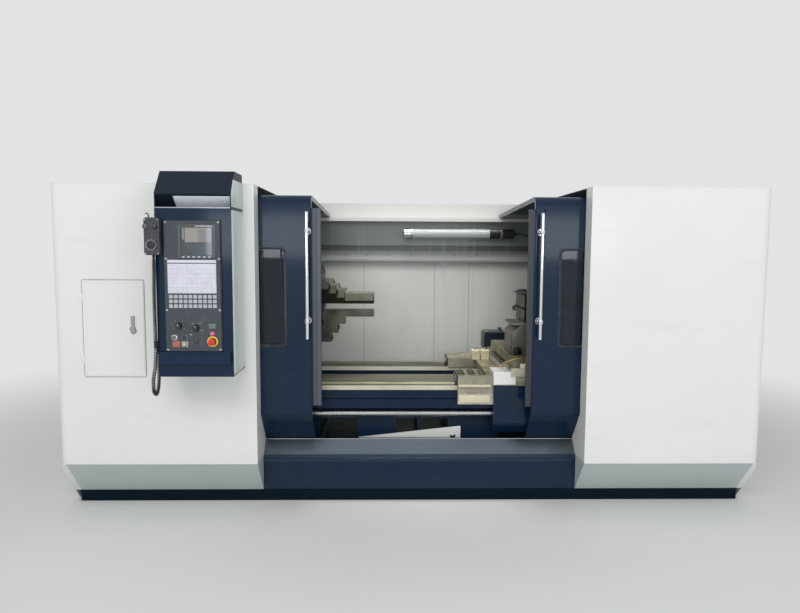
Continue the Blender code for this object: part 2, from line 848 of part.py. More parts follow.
screw_line = [
    (SCREW_RIGHT - SCREW_LEFT, 0),
    (SCREW_RIGHT - SCREW_LEFT, SCREW_END_R),
    (SCREW_RIGHT - SCREW_LEFT - BRACKET_LENGTH - GAP, SCREW_END_R),
    (SCREW_RIGHT - SCREW_LEFT - BRACKET_LENGTH - GAP, SCREW_R),
    (BRACKET_LENGTH + GAP, SCREW_R),
    (BRACKET_LENGTH + GAP, SCREW_END_R),
    (0, SCREW_END_R),
    (0, 0),
]
turned("ball_screw", screw_line, "X", (SCREW_LEFT, SCREW_Y, SCREW_Z), STEEL, 32)

# Headstock and chuck
head_path = [
    (HEAD_FRONT, WAY_Z + GAP),
    (HEAD_FRONT, HEAD_SHOULDER_Z),
    (HEAD_TOP_FRONT, HEAD_TOP),
    (HEAD_TOP_BACK, HEAD_TOP),
    (HEAD_BACK, HEAD_SHOULDER_Z),
    (HEAD_BACK, WAY_Z + GAP),
]
radii = (HEAD_CORNER_R, HEAD_CORNER_R, HEAD_CORNER_R, HEAD_CORNER_R)
head_outline = rounded_path(head_path, radii)
headstock = seated("headstock", outline("YZ", [head_outline], HEAD_LEFT, HEAD_RIGHT), DARK)
ridge_relief = outline(
    "YZ",
    [
        [
            (RIDGE_FRONT - RIDGE_H, WAY_Z - OVERRUN),
            (RIDGE_FRONT - RIDGE_H, WAY_Z + RIDGE_H + 2 * GAP),
            (RIDGE_BACK + RIDGE_H, WAY_Z + RIDGE_H + 2 * GAP),
            (RIDGE_BACK + RIDGE_H, WAY_Z - OVERRUN),
        ]
    ],
    BED_LEFT - OVERRUN,
    BED_RIGHT + OVERRUN,
)
boolean(headstock, cutter("ridge_relief", ridge_relief))
head_bore = rod(
    "X",
    (HEAD_RIGHT - SPINDLE_IN - GAP, SPINDLE_Y, SPINDLE_Z),
    SPINDLE_IN + OVERRUN,
    SPINDLE_R + RUN,
    steps=CHUCK_STEPS,
)
boolean(headstock, cutter("head_bore", head_bore))

chuck_length = CHUCK_FACE - CHUCK_BACK
spindle_length = CHUCK_BACK - (HEAD_RIGHT - SPINDLE_IN)
chuck_line = [
    (chuck_length, SPINDLE_BORE_R),
    (chuck_length, CHUCK_R - CHUCK_EDGE),
    (chuck_length - CHUCK_EDGE, CHUCK_R),
    (CHUCK_EDGE, CHUCK_R),
    (0, CHUCK_R - CHUCK_EDGE),
    (0, SPINDLE_R),
    (-spindle_length, SPINDLE_R),
    (-spindle_length, SPINDLE_BORE_R),
]
chuck = turned(
    "chuck",
    chuck_line,
    "X",
    (CHUCK_BACK, SPINDLE_Y, SPINDLE_Z),
    BLACK,
    CHUCK_STEPS,
    closed=True,
)

jaw_floor = CHUCK_FACE - JAW_SLOT_DEPTH + GAP
jaw_profile = [
    (JAW_GRIP_R, jaw_floor),
    (JAW_END_R, jaw_floor),
    (JAW_END_R, JAW_STEP_3_X),
    (JAW_STEP_2_R, JAW_STEP_3_X),
    (JAW_STEP_2_R, JAW_STEP_2_X),
    (JAW_STEP_1_R, JAW_STEP_2_X),
    (JAW_STEP_1_R, JAW_STEP_1_X),
    (JAW_NOSE_R, JAW_STEP_1_X),
    (JAW_NOSE_R, JAW_NOSE_X),
    (JAW_GRIP_R, JAW_NOSE_X),
]
for number in range(JAW_COUNT):
    lean = math.pi - number * FULL_TURN / JAW_COUNT
    turn = Matrix.Rotation(lean, 4, "X")
    place = Matrix.Translation((0, SPINDLE_Y, SPINDLE_Z)) @ turn
    slot = block(
        (CHUCK_FACE - JAW_SLOT_DEPTH, -JAW_WIDTH / 2 - GAP, SPINDLE_BORE_R / 2),
        (CHUCK_FACE + OVERRUN, JAW_WIDTH / 2 + GAP, CHUCK_R + OVERRUN),
    )
    slot.transform(place)
    boolean(chuck, cutter(f"jaw_slot_{number + 1}", slot))
    # The profile is drawn as (radius, along) and stood up so that radius is +Z.
    jaw = outline("XY", [[(x, r) for r, x in jaw_profile]], -JAW_WIDTH / 2, JAW_WIDTH / 2)
    jaw.transform(Matrix.Rotation(math.pi / 2, 4, "X"))
    jaw.transform(place)
    piece = seated(f"jaw_{number + 1}", jaw, STEEL, (CHUCK_FACE, SPINDLE_Y, SPINDLE_Z))
    bevel(piece, SHEET)

# Carriage
way_gap = WAY_Z + GAP
lip_back = BED_FRONT - 2 * GAP
front_wing = [
    (SADDLE_FRONT, SADDLE_WING_TOP),
    (SADDLE_FRONT, SADDLE_LIP_STEP_Z),
    (SADDLE_FRONT + SADDLE_LIP_STEP, SADDLE_LIP_STEP_Z),
    (SADDLE_FRONT + SADDLE_LIP_STEP, SADDLE_LIP_LOW),
    (lip_back, SADDLE_LIP_LOW),
    (lip_back, way_gap),
    (RIDGE_FRONT - RIDGE_H, way_gap),
    (RIDGE_FRONT - RIDGE_H, way_gap + RIDGE_H + GAP),
    (RIDGE_BACK + RIDGE_H, way_gap + RIDGE_H + GAP),
    (RIDGE_BACK + RIDGE_H, way_gap),
    (SADDLE_FRONT_WING_BACK, way_gap),
    (SADDLE_FRONT_WING_BACK, SADDLE_WING_TOP),
]
saddle = seated("saddle", outline("YZ", [front_wing], SADDLE_LEFT, SADDLE_RIGHT), CAST)
saddle_blocks = {
    "saddle_web": (
        (BRIDGE_LEFT, SADDLE_FRONT_WING_BACK - OVERRUN, way_gap + SADDLE_SETBACK),
        (BRIDGE_RIGHT, SADDLE_REAR_WING_FRONT + OVERRUN, SADDLE_WING_TOP - 2 * SADDLE_SETBACK),
    ),
    "saddle_rear_wing": (
        (SADDLE_LEFT, SADDLE_REAR_WING_FRONT, way_gap),
        (SADDLE_RIGHT, SADDLE_BACK, SADDLE_WING_TOP - SADDLE_SETBACK),
    ),
    "saddle_bridge": (
        (SLIDE_LEFT, SADDLE_FRONT_WING_BACK - 2 * OVERRUN, SADDLE_WING_TOP - OVERRUN),
        (SLIDE_RIGHT, SADDLE_BACK + SADDLE_SETBACK, BRIDGE_TOP),
    ),
    "saddle_boss": (
        (FRONT_BOSS_LEFT, COVER_FRONT, SADDLE_WING_TOP - 2 * OVERRUN),
        (FRONT_BOSS_RIGHT, FRONT_BOSS_BACK, FRONT_BOSS_TOP),
    ),
}
for tool_name, corners in saddle_blocks.items():
    boolean(saddle, cutter(tool_name, block(*corners)), "UNION")

nut_section = [
    (APRON_FACE, APRON_TOP),
    (APRON_FACE, APRON_CREASE_Z),
    (APRON_LOW_FRONT, APRON_LOW),
    (APRON_BACK, APRON_LOW),
    (APRON_BACK, LEG_TOP - PLATE),
    (lip_back, APRON_NUT_TOP),
    (lip_back, SADDLE_LIP_LOW - GAP),
    (SADDLE_FRONT - GAP, SADDLE_LIP_LOW - GAP),
    (SADDLE_FRONT - GAP, APRON_TOP),
]
carriage_apron = seated(
    "carriage_apron", outline("YZ", [nut_section], APRON_LEFT, APRON_RIGHT), NAVY
)
nut_bore = rod(
    "X",
    (APRON_LEFT - OVERRUN, SCREW_Y, SCREW_Z),
    APRON_RIGHT - APRON_LEFT + 2 * OVERRUN,
    SCREW_R + RUN,
    steps=32,
)
boolean(carriage_apron, cutter("nut_bore", nut_bore))

cover_low = SADDLE_WING_TOP + GAP
cover = [
    (COVER_BACK, cover_low),
    (COVER_BACK, COVER_TOP),
    (COVER_FRONT, COVER_TOP),
    (COVER_FRONT, COVER_LOW),
    (SADDLE_FRONT - GAP, COVER_LOW),
    (SADDLE_FRONT - GAP, cover_low),
]
cover = rounded_path(cover, (COVER_EDGE, COVER_EDGE, COVER_EDGE, 0), 3)
seated("screw_cover", outline("YZ", [cover], APRON_LEFT, COVER_RIGHT), WHITE)

motor_start = SADDLE_BACK + SADDLE_SETBACK + GAP
motor_face = rounded_rectangle(
    MOTOR_LEFT, MOTOR_LOW, MOTOR_RIGHT, MOTOR_HIGH, MOTOR_CHAMFER, 2
)
seated(
    "cross_motor",
    outline("XZ", [motor_face], motor_start, motor_start + MOTOR_LENGTH),
    BLACK,
)

slide_floor = BRIDGE_TOP + GAP
slide_section = [
    (SLIDE_LEFT + SLIDE_DOVETAIL, slide_floor),
    (SLIDE_RIGHT - SLIDE_DOVETAIL, slide_floor),
    (SLIDE_RIGHT - SLIDE_DOVETAIL, slide_floor + SLIDE_DOVETAIL_H),
    (SLIDE_RIGHT, slide_floor + SLIDE_DOVETAIL_H),
    (SLIDE_RIGHT, SLIDE_TOP),
    (SLIDE_LEFT, SLIDE_TOP),
    (SLIDE_LEFT, slide_floor + SLIDE_DOVETAIL_H),
    (SLIDE_LEFT + SLIDE_DOVETAIL, slide_floor + SLIDE_DOVETAIL_H),
]
seated(
    "cross_slide",
    outline("XZ", [slide_section], SLIDE_FRONT, SLIDE_BACK),
    CAST,
    ((SLIDE_LEFT + SLIDE_RIGHT) / 2, SLIDE_FRONT, slide_floor),
)

tower = [
    (TOWER_LEFT, SLIDE_TOP + GAP),
    (TOWER_RIGHT, SLIDE_TOP + GAP),
    (TOWER_RIGHT, TOWER_TOP),
    (TOWER_NECK_LEFT, TOWER_TOP),
    (TOWER_LEFT, TOWER_NECK_Z),
]
turret_base = seated("turret_base", outline("XZ", [tower], TOWER_FRONT, TOWER_BACK), CAST)
bevel(turret_base, PLATE / 2, 2)

turret = seated(
    "turret_head",
    block(
        (TURRET_X - TURRET_HALF, TURRET_Y - TURRET_HALF, TOWER_TOP + GAP),
        (TURRET_X + TURRET_HALF, TURRET_Y + TURRET_HALF, TURRET_TOP),
    ),
    BLACK,
    (TURRET_X, TURRET_Y, TOWER_TOP + GAP),
)


def turret_slot(turn):
    """A tool slot along one side of the head."""
    slot = block(
        (-TURRET_HALF - OVERRUN, TURRET_HALF - TURRET_SLOT_DEPTH, TURRET_SLOT_LOW),
        (TURRET_HALF + OVERRUN, TURRET_HALF + OVERRUN, TURRET_SLOT_HIGH),
    )
    slot.transform(Matrix.Translation((TURRET_X, TURRET_Y, 0)) @ Matrix.Rotation(turn, 4, "Z"))
    return slot


for number in range(TURRET_SIDES):
    shape = turret_slot(number * FULL_TURN / TURRET_SIDES)
    tool = cutter(f"turret_slot_{number}", shape)
    tool.location = (0, 0, 0)
    boolean(turret, tool)
stud = rod("Z", (TURRET_X, TURRET_Y, TURRET_TOP - OVERRUN), TURRET_STUD_H + OVERRUN, TURRET_STUD_R)
boolean(turret, cutter("turret_stud", stud), "UNION")

tool_side = TURRET_X - TURRET_HALF + GAP
tool_low = TURRET_SLOT_LOW + GAP
tool_back = TURRET_Y + TURRET_HALF + TOOL_OUT
tool_outline = [
    (tool_side, TURRET_Y - TURRET_HALF + GAP),
    (tool_side + TOOL_SHANK, TURRET_Y - TURRET_HALF + GAP),
    (tool_side + TOOL_SHANK, tool_back - TOOL_TIP),
    (tool_side + TOOL_SHANK / 2, tool_back),
    (tool_side - TOOL_TIP_OUT, tool_back),
    (tool_side - TOOL_CHEEK_OUT, tool_back - TOOL_TIP),
    (tool_side, tool_back - 2 * TOOL_TIP),
]
seated(
    "turning_tool",
    outline("XY", [tool_outline], tool_low, tool_low + TOOL_SHANK),
    STEEL,
    (TURRET_X, TURRET_Y, tool_low),
)

# Tailstock
foot = WAY_Z + GAP
barrel = arc((SPINDLE_Y, SPINDLE_Z), TAIL_BARREL_R, -55, 235, TAIL_BARREL_STEPS)
tail_section = (
    [
        (TAIL_FRONT, foot),
        (TAIL_BACK, foot),
        (TAIL_BACK, TAIL_FOOT_TOP),
        (SPINDLE_Y + TAIL_KNEE_HALF, TAIL_KNEE_Z),
        (SPINDLE_Y + TAIL_WAIST_HALF, TAIL_WAIST_Z),
    ]
    + barrel
    + [
        (SPINDLE_Y - TAIL_WAIST_HALF, TAIL_WAIST_Z),
        (SPINDLE_Y - TAIL_KNEE_HALF, TAIL_KNEE_Z),
        (TAIL_FRONT, TAIL_FOOT_TOP),
    ]
)
tailstock = seated("tailstock", outline("YZ", [tail_section], TAIL_LEFT, TAIL_RIGHT), NAVY)
quill_bore = rod(
    "X",
    (TAIL_LEFT - OVERRUN, SPINDLE_Y, SPINDLE_Z),
    TAIL_BORE_RIGHT - TAIL_LEFT + OVERRUN,
    QUILL_R + RUN,
    steps=32,
)
boolean(tailstock, cutter("quill_bore", quill_bore))
shaft_bore = rod(
    "X",
    (TAIL_BORE_RIGHT - OVERRUN, SPINDLE_Y, SPINDLE_Z),
    TAIL_RIGHT - TAIL_BORE_RIGHT + 2 * OVERRUN,
    TAIL_SHAFT_R + RUN,
    steps=24,
)
boolean(tailstock, cutter("shaft_bore", shaft_bore))

quill_line = [
    (QUILL_RIGHT - CENTRE_TIP_X, 0),
    (QUILL_RIGHT - CENTRE_TIP_X, QUILL_R),
    (QUILL_LEFT - CENTRE_TIP_X, QUILL_R),
    (QUILL_LEFT - CENTRE_TIP_X, CENTRE_R),
    (CENTRE_BODY_X - CENTRE_TIP_X, CENTRE_R),
    (0, 0),
]
turned("quill", quill_line, "X", (CENTRE_TIP_X, SPINDLE_Y, SPINDLE_Z), STEEL, 32)

rim = moved(arc((0, 0), WHEEL_R, 0, 360 - 360 / WHEEL_STEPS, WHEEL_STEPS - 1), (SPINDLE_Y, SPINDLE_Z))
wheel = seated(
    "tail_handwheel",
    outline("YZ", [rim], WHEEL_X, WHEEL_X + WHEEL_T),
    CHROME,
    (WHEEL_X, SPINDLE_Y, SPINDLE_Z),
)
shaft = rod(
    "X",
    (TAIL_BORE_RIGHT + RUN, SPINDLE_Y, SPINDLE_Z),
    WHEEL_X + WHEEL_T / 2 - TAIL_BORE_RIGHT - RUN,
    TAIL_SHAFT_R,
    steps=24,
)
shaft.transform(Matrix.Translation((-WHEEL_X, -SPINDLE_Y, -SPINDLE_Z)))
hub_shape = cutter("wheel_shaft", shaft)
hub_shape.location = (WHEEL_X, SPINDLE_Y, SPINDLE_Z)
boolean(wheel, hub_shape, "UNION")
grip = rod(
    "X",
    (WHEEL_X + WHEEL_T / 2, SPINDLE_Y, SPINDLE_Z + WHEEL_R - WHEEL_RIM / 2),
    WHEEL_T / 2 + WHEEL_GRIP_LENGTH,
    WHEEL_GRIP_R - SHEET,
    WHEEL_GRIP_R,
    steps=16,
)
boolean(wheel, cutter("wheel_grip", grip), "UNION")

# Rear guard, beam and lamp
wall_section = [(WALL_FRONT + WALL_T, PLINTH_H + GAP), (WALL_FRONT + WALL_T, WALL_TOP)]
wall_section.append((WALL_FRONT, WALL_TOP))
for low, high in reversed(GROOVES):
    wall_section += [
        (WALL_FRONT, high),
        (WALL_FRONT + GROOVE_DEPTH, high),
        (WALL_FRONT + GROOVE_DEPTH, low),
        (WALL_FRONT, low),
    ]
wall_section.append((WALL_FRONT, PLINTH_H + GAP))
seated("rear_guard", outline("YZ", [wall_section], -INNER_X, INNER_X), STONE)

rail_low = WALL_TOP + GAP
beam = [
    (RAIL_FRONT, rail_low),
    (RAIL_FRONT, rail_low + RAIL_T),
    (BEAM_FRONT, rail_low + RAIL_T),
    (BEAM_FRONT, BEAM_TOP),
    (BEAM_BACK, BEAM_TOP),
    (BEAM_BACK, rail_low),
]
seated("door_rail_beam", outline("YZ", [beam], -INNER_X, INNER_X), WHITE)

lamp_y = WALL_FRONT - LAMP_R - PLATE
lamp = seated(
    "lamp_tube",
    rod("X", (LAMP_LEFT, lamp_y, LAMP_Z), LAMP_RIGHT - LAMP_LEFT, LAMP_R, steps=28),
    PALE,
)
for number, near in enumerate(
    (LAMP_LEFT + LAMP_FOOT_INSET, LAMP_RIGHT - LAMP_FOOT_INSET - LAMP_FOOT_WIDTH)
):
    foot_block = block(
        (near, lamp_y, LAMP_Z - LAMP_R / 2),
        (near + LAMP_FOOT_WIDTH, WALL_FRONT - GAP, LAMP_Z + LAMP_R / 2),
    )
    boolean(lamp, cutter(f"lamp_foot_{number}", foot_block), "UNION")
smooth(lamp)

# Back of the machine
back_top = HEIGHT - SHEET - GAP
cabinet = seated(
    "electrical_cabinet",
    block(
        (-INNER_X, BEAM_BACK + GAP, PLINTH_H + GAP),
        (CABINET_RIGHT, DEPTH, back_top),
    ),
    WHITE,
)
cabinet_door_left = -HALF_LENGTH + CABINET_DOOR_INSET
cabinet_door_right = CABINET_RIGHT - CABINET_DOOR_INSET
inside = block(
    (
        cabinet_door_left + CABINET_DOOR_LAP,
        BEAM_BACK + GAP + CABINET_WALL,
        CABINET_DOOR_LOW + CABINET_DOOR_LAP,
    ),
    (
        cabinet_door_right - CABINET_DOOR_LAP,
        DEPTH + OVERRUN,
        CABINET_DOOR_HIGH - CABINET_DOOR_LAP,
    ),
)
boolean(cabinet, cutter("cabinet_inside", inside))
cabinet_door = seated(
    "cabinet_door",
    block(
        (cabinet_door_left, DEPTH + GAP, CABINET_DOOR_LOW),
        (cabinet_door_right, DEPTH + GAP + CABINET_DOOR_T, CABINET_DOOR_HIGH),
    ),
    WHITE,
    (cabinet_door_left, DEPTH + GAP + CABINET_DOOR_T, CABINET_DOOR_LOW),
)
bevel(cabinet_door, SHEET)

back_path = [
    (BACK_PANEL_LEFT, BEAM_BACK + GAP),
    (BACK_PANEL_LEFT, DEPTH),
    (INNER_X, DEPTH),
]
seated(
    "right_back_panel",
    outline("XY", [band(back_path, -SHEET)], PLINTH_H + GAP, back_top),
    WHITE,
)

# Sliding doors
door_path = [
    (DOOR_FLAP_END, SILL_RAIL_Z + GAP),
    (DOOR_FRONT, DOOR_BREAK_Z),
    (DOOR_FRONT, DOOR_TOP),
    (DOOR_BACK, DOOR_BACK_TOP),
]
door_outer = rounded_path(door_path, (DOOR_T, DOOR_BEND_R), 6)
door_section = band(door_outer, -DOOR_T)
# The flap ends in a flat foot that runs on the sill's rail.
flap_way = (Vector(door_path[0]) - Vector(door_path[1])).normalized()
foot_inner = Vector(door_section[-1])
door_section[-1] = tuple(
    foot_inner + flap_way * ((foot_inner.y - SILL_RAIL_Z - GAP) / -flap_way.y)
)


def door(name, left, right, window_left, handle_x):
    """One door: folded slab with its window hole, the pane and the long handle."""
    slab = seated(
        f"{name}_door", outline("YZ", [door_section], left, right), NAVY, (left, DOOR_FRONT, DOOR_BREAK_Z)
    )
    hole = rounded_rectangle(
        window_left, WINDOW_LOW, window_left + WINDOW_WIDTH, WINDOW_HIGH, WINDOW_R
    )
    shape = outline("XZ", [hole], DOOR_FRONT - OVERRUN, DOOR_FRONT + DOOR_T + OVERRUN)
    boolean(slab, cutter(f"{name}_window_hole", shape))
    pane = rounded_rectangle(
        window_left + GAP,
        WINDOW_LOW + GAP,
        window_left + WINDOW_WIDTH - GAP,
        WINDOW_HIGH - GAP,
        WINDOW_R - GAP,
    )
    pane_front = DOOR_FRONT + WINDOW_SET_BACK
    seated(f"{name}_window", outline("XZ", [pane], pane_front, pane_front + WINDOW_T), GLASS)
    axis_y = DOOR_FRONT - HANDLE_STAND
    bar = tube([(handle_x, axis_y, HANDLE_LOW), (handle_x, axis_y, HANDLE_HIGH)], HANDLE_R)
    handle = seated(f"{name}_handle", bar, CHROME)
    for number, height in enumerate((HANDLE_POST_LOW, HANDLE_POST_HIGH)):
        post = rod("Y", (handle_x, axis_y, height), HANDLE_STAND - GAP, HANDLE_POST_R, steps=16)
        boolean(handle, cutter(f"{name}_post_{number}", post), "UNION")
    smooth(handle)


door(
    "left",
    LEFT_DOOR_EDGE - DOOR_WIDTH,
    LEFT_DOOR_EDGE,
    LEFT_DOOR_EDGE - WINDOW_INSET - WINDOW_WIDTH,
    LEFT_DOOR_EDGE - LEFT_HANDLE_INSET,
)
door(
    "right",
    RIGHT_DOOR_EDGE,
    RIGHT_DOOR_EDGE + DOOR_WIDTH,
    RIGHT_DOOR_EDGE + WINDOW_INSET,
    RIGHT_DOOR_EDGE + RIGHT_HANDLE_INSET,
)
tongue_front = DOOR_FRONT + DOOR_T + GAP
seated(
    "left_seal",
    block(
        (LEFT_DOOR_EDGE - TONGUE_LAP, tongue_front, SEAL_LOW),
        (LEFT_DOOR_EDGE + TONGUE_OUT, tongue_front + TONGUE_T, SEAL_HIGH),
    ),
    STONE,
)
buffer_front = DOOR_FRONT + BUFFER_SET_BACK
seated(
    "right_seal",
    block(
        (RIGHT_DOOR_EDGE - BUFFER_OUT, buffer_front, SEAL_LOW),
        (RIGHT_DOOR_EDGE - GAP, buffer_front + BUFFER_T, SEAL_HIGH),
    ),
    RUBBER,
)

# Service hatch
hatch = seated(
    "service_hatch",
    outline(
        "XZ",
        [rounded_rectangle(HATCH_LEFT, HATCH_LOW, HATCH_RIGHT, HATCH_HIGH, HATCH_R)],
        -SHEET - GAP,
        -GAP,
    ),
    WHITE,
    (HATCH_LEFT, -SHEET - GAP, HATCH_LOW),
)
latch_back = -SHEET - 2 * GAP
latch = seated(
    "hatch_latch",
    rod("Y", (LATCH_X, latch_back - LATCH_T, LATCH_Z), LATCH_T, LATCH_R, steps=24),
    BLACK,
    (LATCH_X, latch_back, LATCH_Z),
)
bar = block(
    (LATCH_X - LATCH_BAR_HALF, latch_back - LATCH_T, LATCH_Z),
    (LATCH_X + LATCH_BAR_HALF, latch_back, LATCH_Z + LATCH_BAR_LENGTH),
)
boolean(latch, cutter("latch_bar", bar), "UNION")

# Control box
control_box = seated(
    "control_box",
    block((BOX_LEFT, -BOX_OUT, BOX_LOW), (BOX_RIGHT, -GAP, BOX_HIGH)),
    NAVY,
)
ledge = block(
    (BOX_LEFT + LEDGE_INSET, -BOX_OUT - LEDGE_OUT, LEDGE_LOW),
    (BOX_RIGHT - LEDGE_INSET, -BOX_OUT + OVERRUN, LEDGE_HIGH),
)
boolean(control_box, cutter("box_ledge", ledge), "UNION")
gland_x, gland_y = CORD_ROUTE[-1][:2]
gland = block(
    (gland_x - GLAND_HALF, gland_y - GLAND_HALF, GLAND_Z),
    (BOX_LEFT + OVERRUN, gland_y + GLAND_HALF, GLAND_Z + GLAND_H),
)
boolean(control_box, cutter("box_gland", gland), "UNION")

hood_low = BOX_HIGH + GAP
hood_section = [
    (-BOX_OUT, hood_low),
    (-BOX_OUT, HOOD_CREASE_Z),
    (-HOOD_SLOPE_BACK, HOOD_TOP),
    (-GAP, HOOD_TOP),
    (-GAP, hood_low),
]
hood = seated("control_hood", outline("YZ", [hood_section], BOX_LEFT, BOX_RIGHT), NAVY)
# Under the crease the hood falls back into a niche between its two cheeks.
niche = [
    (-BOX_OUT - OVERRUN, hood_low + HOOD_LIP),
    (-HOOD_NICHE_BACK, hood_low + HOOD_LIP),
    (-BOX_OUT, HOOD_CREASE_Z - HOOD_NOSE),
    (-BOX_OUT - OVERRUN, HOOD_CREASE_Z - HOOD_NOSE),
]
niche_body = outline("YZ", [niche], BOX_LEFT + HOOD_CHEEK, BOX_RIGHT - HOOD_CHEEK)
boolean(hood, cutter("hood_niche", niche_body))
bevel(hood, HOOD_EDGE)

panel_front = -BOX_OUT - GAP - PANEL_T
panel = seated(
    "operator_panel",
    outline(
        "XZ",
        [rounded_rectangle(PANEL_LEFT, PANEL_LOW, PANEL_RIGHT, PANEL_HIGH, PANEL_R)],
        panel_front,
        -BOX_OUT - GAP,
    ),
    DARK,
)
pocket = block(
    (SCREEN_LEFT - GAP, panel_front - OVERRUN, SCREEN_LOW - GAP),
    (SCREEN_RIGHT + GAP, panel_front + SCREEN_POCKET, SCREEN_HIGH + GAP),
)
boolean(panel, cutter("screen_pocket", pocket))
screen_back = panel_front + SCREEN_POCKET - GAP
seated(
    "screen",
    block(
        (SCREEN_LEFT, screen_back - SCREEN_T, SCREEN_LOW),
        (SCREEN_RIGHT, screen_back, SCREEN_HIGH),
    ),
    GLASS,
)
keypad = seated(
    "keypad",
    block(
        (KEYPAD_LEFT, panel_front - GAP - KEYPAD_T, KEYPAD_LOW),
        (KEYPAD_RIGHT, panel_front - GAP, KEYPAD_HIGH),
    ),
    PALE,
)


def knob(name, x, z):
    """A round knob with a raised grip across it."""
    back = panel_front - GAP
    piece = seated(
        name,
        rod("Y", (x, back - KNOB_H, z), KNOB_H, KNOB_R * KNOB_FACE_SHARE, KNOB_R),
        BLACK,
        (x, back, z),
    )
    reach = KNOB_R * KNOB_GRIP_SHARE
    bar_low = (x - KNOB_GRIP_HALF, back - KNOB_H - KNOB_GRIP_H, z - reach)
    bar_high = (x + KNOB_GRIP_HALF, back - KNOB_H / 2, z + reach)
    boolean(piece, cutter(f"{name}_grip", block(bar_low, bar_high)), "UNION")


knob("selector_knob", SELECTOR_X, SELECTOR_Z)
knob("override_knob", OVERRIDE_X, OVERRIDE_Z)


def push_button(name, x, z, profile, material):
    """A button whose stem stands in a bore of the panel; the profile runs from its tip."""
    well = rod(
        "Y",
        (x, panel_front - OVERRUN, z),
        OVERRUN + STEM_LENGTH + BUTTON_TRAVEL + RUN,
        STEM_R + GAP,
        steps=24,
    )
    boolean(panel, cutter(f"{name}_bore", well))
    turned(name, profile, "Y", (x, panel_front, z), material, 24)


press = BUTTON_TRAVEL + RUN
start_line = [
    (STEM_LENGTH, 0),
    (STEM_LENGTH, STEM_R),
    (-press, STEM_R),
    (-press, START_R),
    (-press - START_H, START_R),
    (-press - START_H, 0),
]
push_button("start_button", START_X, START_Z, start_line, GREEN)
estop_line = [
    (STEM_LENGTH, 0),
    (STEM_LENGTH, STEM_R),
    (-press, STEM_R),
    (-press, ESTOP_R * ESTOP_NECK_SHARE),
    (-press - ESTOP_H * ESTOP_UNDER_SHARE, ESTOP_R * ESTOP_NECK_SHARE),
    (-press - ESTOP_H * ESTOP_BROW_SHARE, ESTOP_R),
    (-press - ESTOP_H * ESTOP_SHOULDER_SHARE, ESTOP_R * ESTOP_CROWN_SHARE),
    (-press - ESTOP_H, ESTOP_R * ESTOP_NECK_SHARE),
    (-press - ESTOP_H, 0),
]
push_button("estop_button", ESTOP_X, ESTOP_Z, estop_line, RED)

# Pendant
holder = seated(
    "pendant_holder",
    block(
        (HOLDER_LEFT, -BOX_OUT - GAP - HOLDER_T, HOLDER_LOW),
        (BOX_LEFT + HOLDER_LAP, -BOX_OUT - GAP, HOLDER_HIGH),
    ),
    STEEL,
)
pendant_back = -BOX_OUT - 2 * GAP - HOLDER_T
pendant = seated(
    "pendant",
    outline(
        "XZ",
        [rounded_rectangle(PENDANT_LEFT, PENDANT_LOW, PENDANT_RIGHT, PENDANT_HIGH, PENDANT_R)],
        pendant_back - PENDANT_T,
        pendant_back,
    ),
    BLACK,
)
bevel(pendant, SHEET, 2)
dial_z = PENDANT_LOW + DIAL_RISE
dial_back = pendant_back - PENDANT_T - GAP
seated(
    "pendant_dial",
    rod(
        "Y",
        ((PENDANT_LEFT + PENDANT_RIGHT) / 2, dial_back - DIAL_H, dial_z),
        DIAL_H,
        DIAL_R * DIAL_FACE_SHARE,
        DIAL_R,
        steps=32,
    ),
    PALE,
    ((PENDANT_LEFT + PENDANT_RIGHT) / 2, dial_back, dial_z),
)


def smooth_line(route, count):
    """Evenly counted points on a smooth curve through the route's own points."""
    points = [Vector(place) for place in route]
    points = [2 * points[0] - points[1]] + points + [2 * points[-1] - points[-2]]
    line = []
    spans = len(route) - 1
    for i in range(count + 1):
        at = i * spans / count
        span = min(int(at), spans - 1)
        t = at - span
        a, b, c, d = points[span : span + 4]
        line.append(
            0.5
            * (
                2 * b
                + (c - a) * t
                + (2 * a - 5 * b + 4 * c - d) * t**2
                + (3 * b - a - 3 * c + d) * t**3
            )
        )
    return line


cord = seated("pendant_cord", tube(smooth_line(CORD_ROUTE, CORD_STEPS), CORD_R, 3), BLACK)
smooth(cord)
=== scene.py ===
"""Looks of a large flat-bed CNC lathe: finishes, fittings, stage and camera.

Places behind the machine's front are measured from the front face of the two
white housings, and heights from the floor.
"""

import math

import bmesh
import bpy
from bpy.props import FloatProperty, FloatVectorProperty, IntProperty, PointerProperty
from mathutils import Matrix, Vector


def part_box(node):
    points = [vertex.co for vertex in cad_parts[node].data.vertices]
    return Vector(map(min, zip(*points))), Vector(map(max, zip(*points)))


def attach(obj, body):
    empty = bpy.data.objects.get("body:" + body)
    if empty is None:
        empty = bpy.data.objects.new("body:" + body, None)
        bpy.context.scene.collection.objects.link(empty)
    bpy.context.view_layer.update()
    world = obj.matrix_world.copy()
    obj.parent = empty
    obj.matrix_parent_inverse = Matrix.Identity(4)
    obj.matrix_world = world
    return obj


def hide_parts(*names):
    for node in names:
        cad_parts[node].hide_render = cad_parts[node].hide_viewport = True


bl_info = {
    "name": "Flat-bed CNC lathe",
    "version": (1, 0, 0),
    "blender": (4, 5, 0),
    "location": "View3D > Sidebar > Lathe",
    "description": "Finishes and fittings of a guarded flat-bed CNC lathe",
    "category": "Object",
}

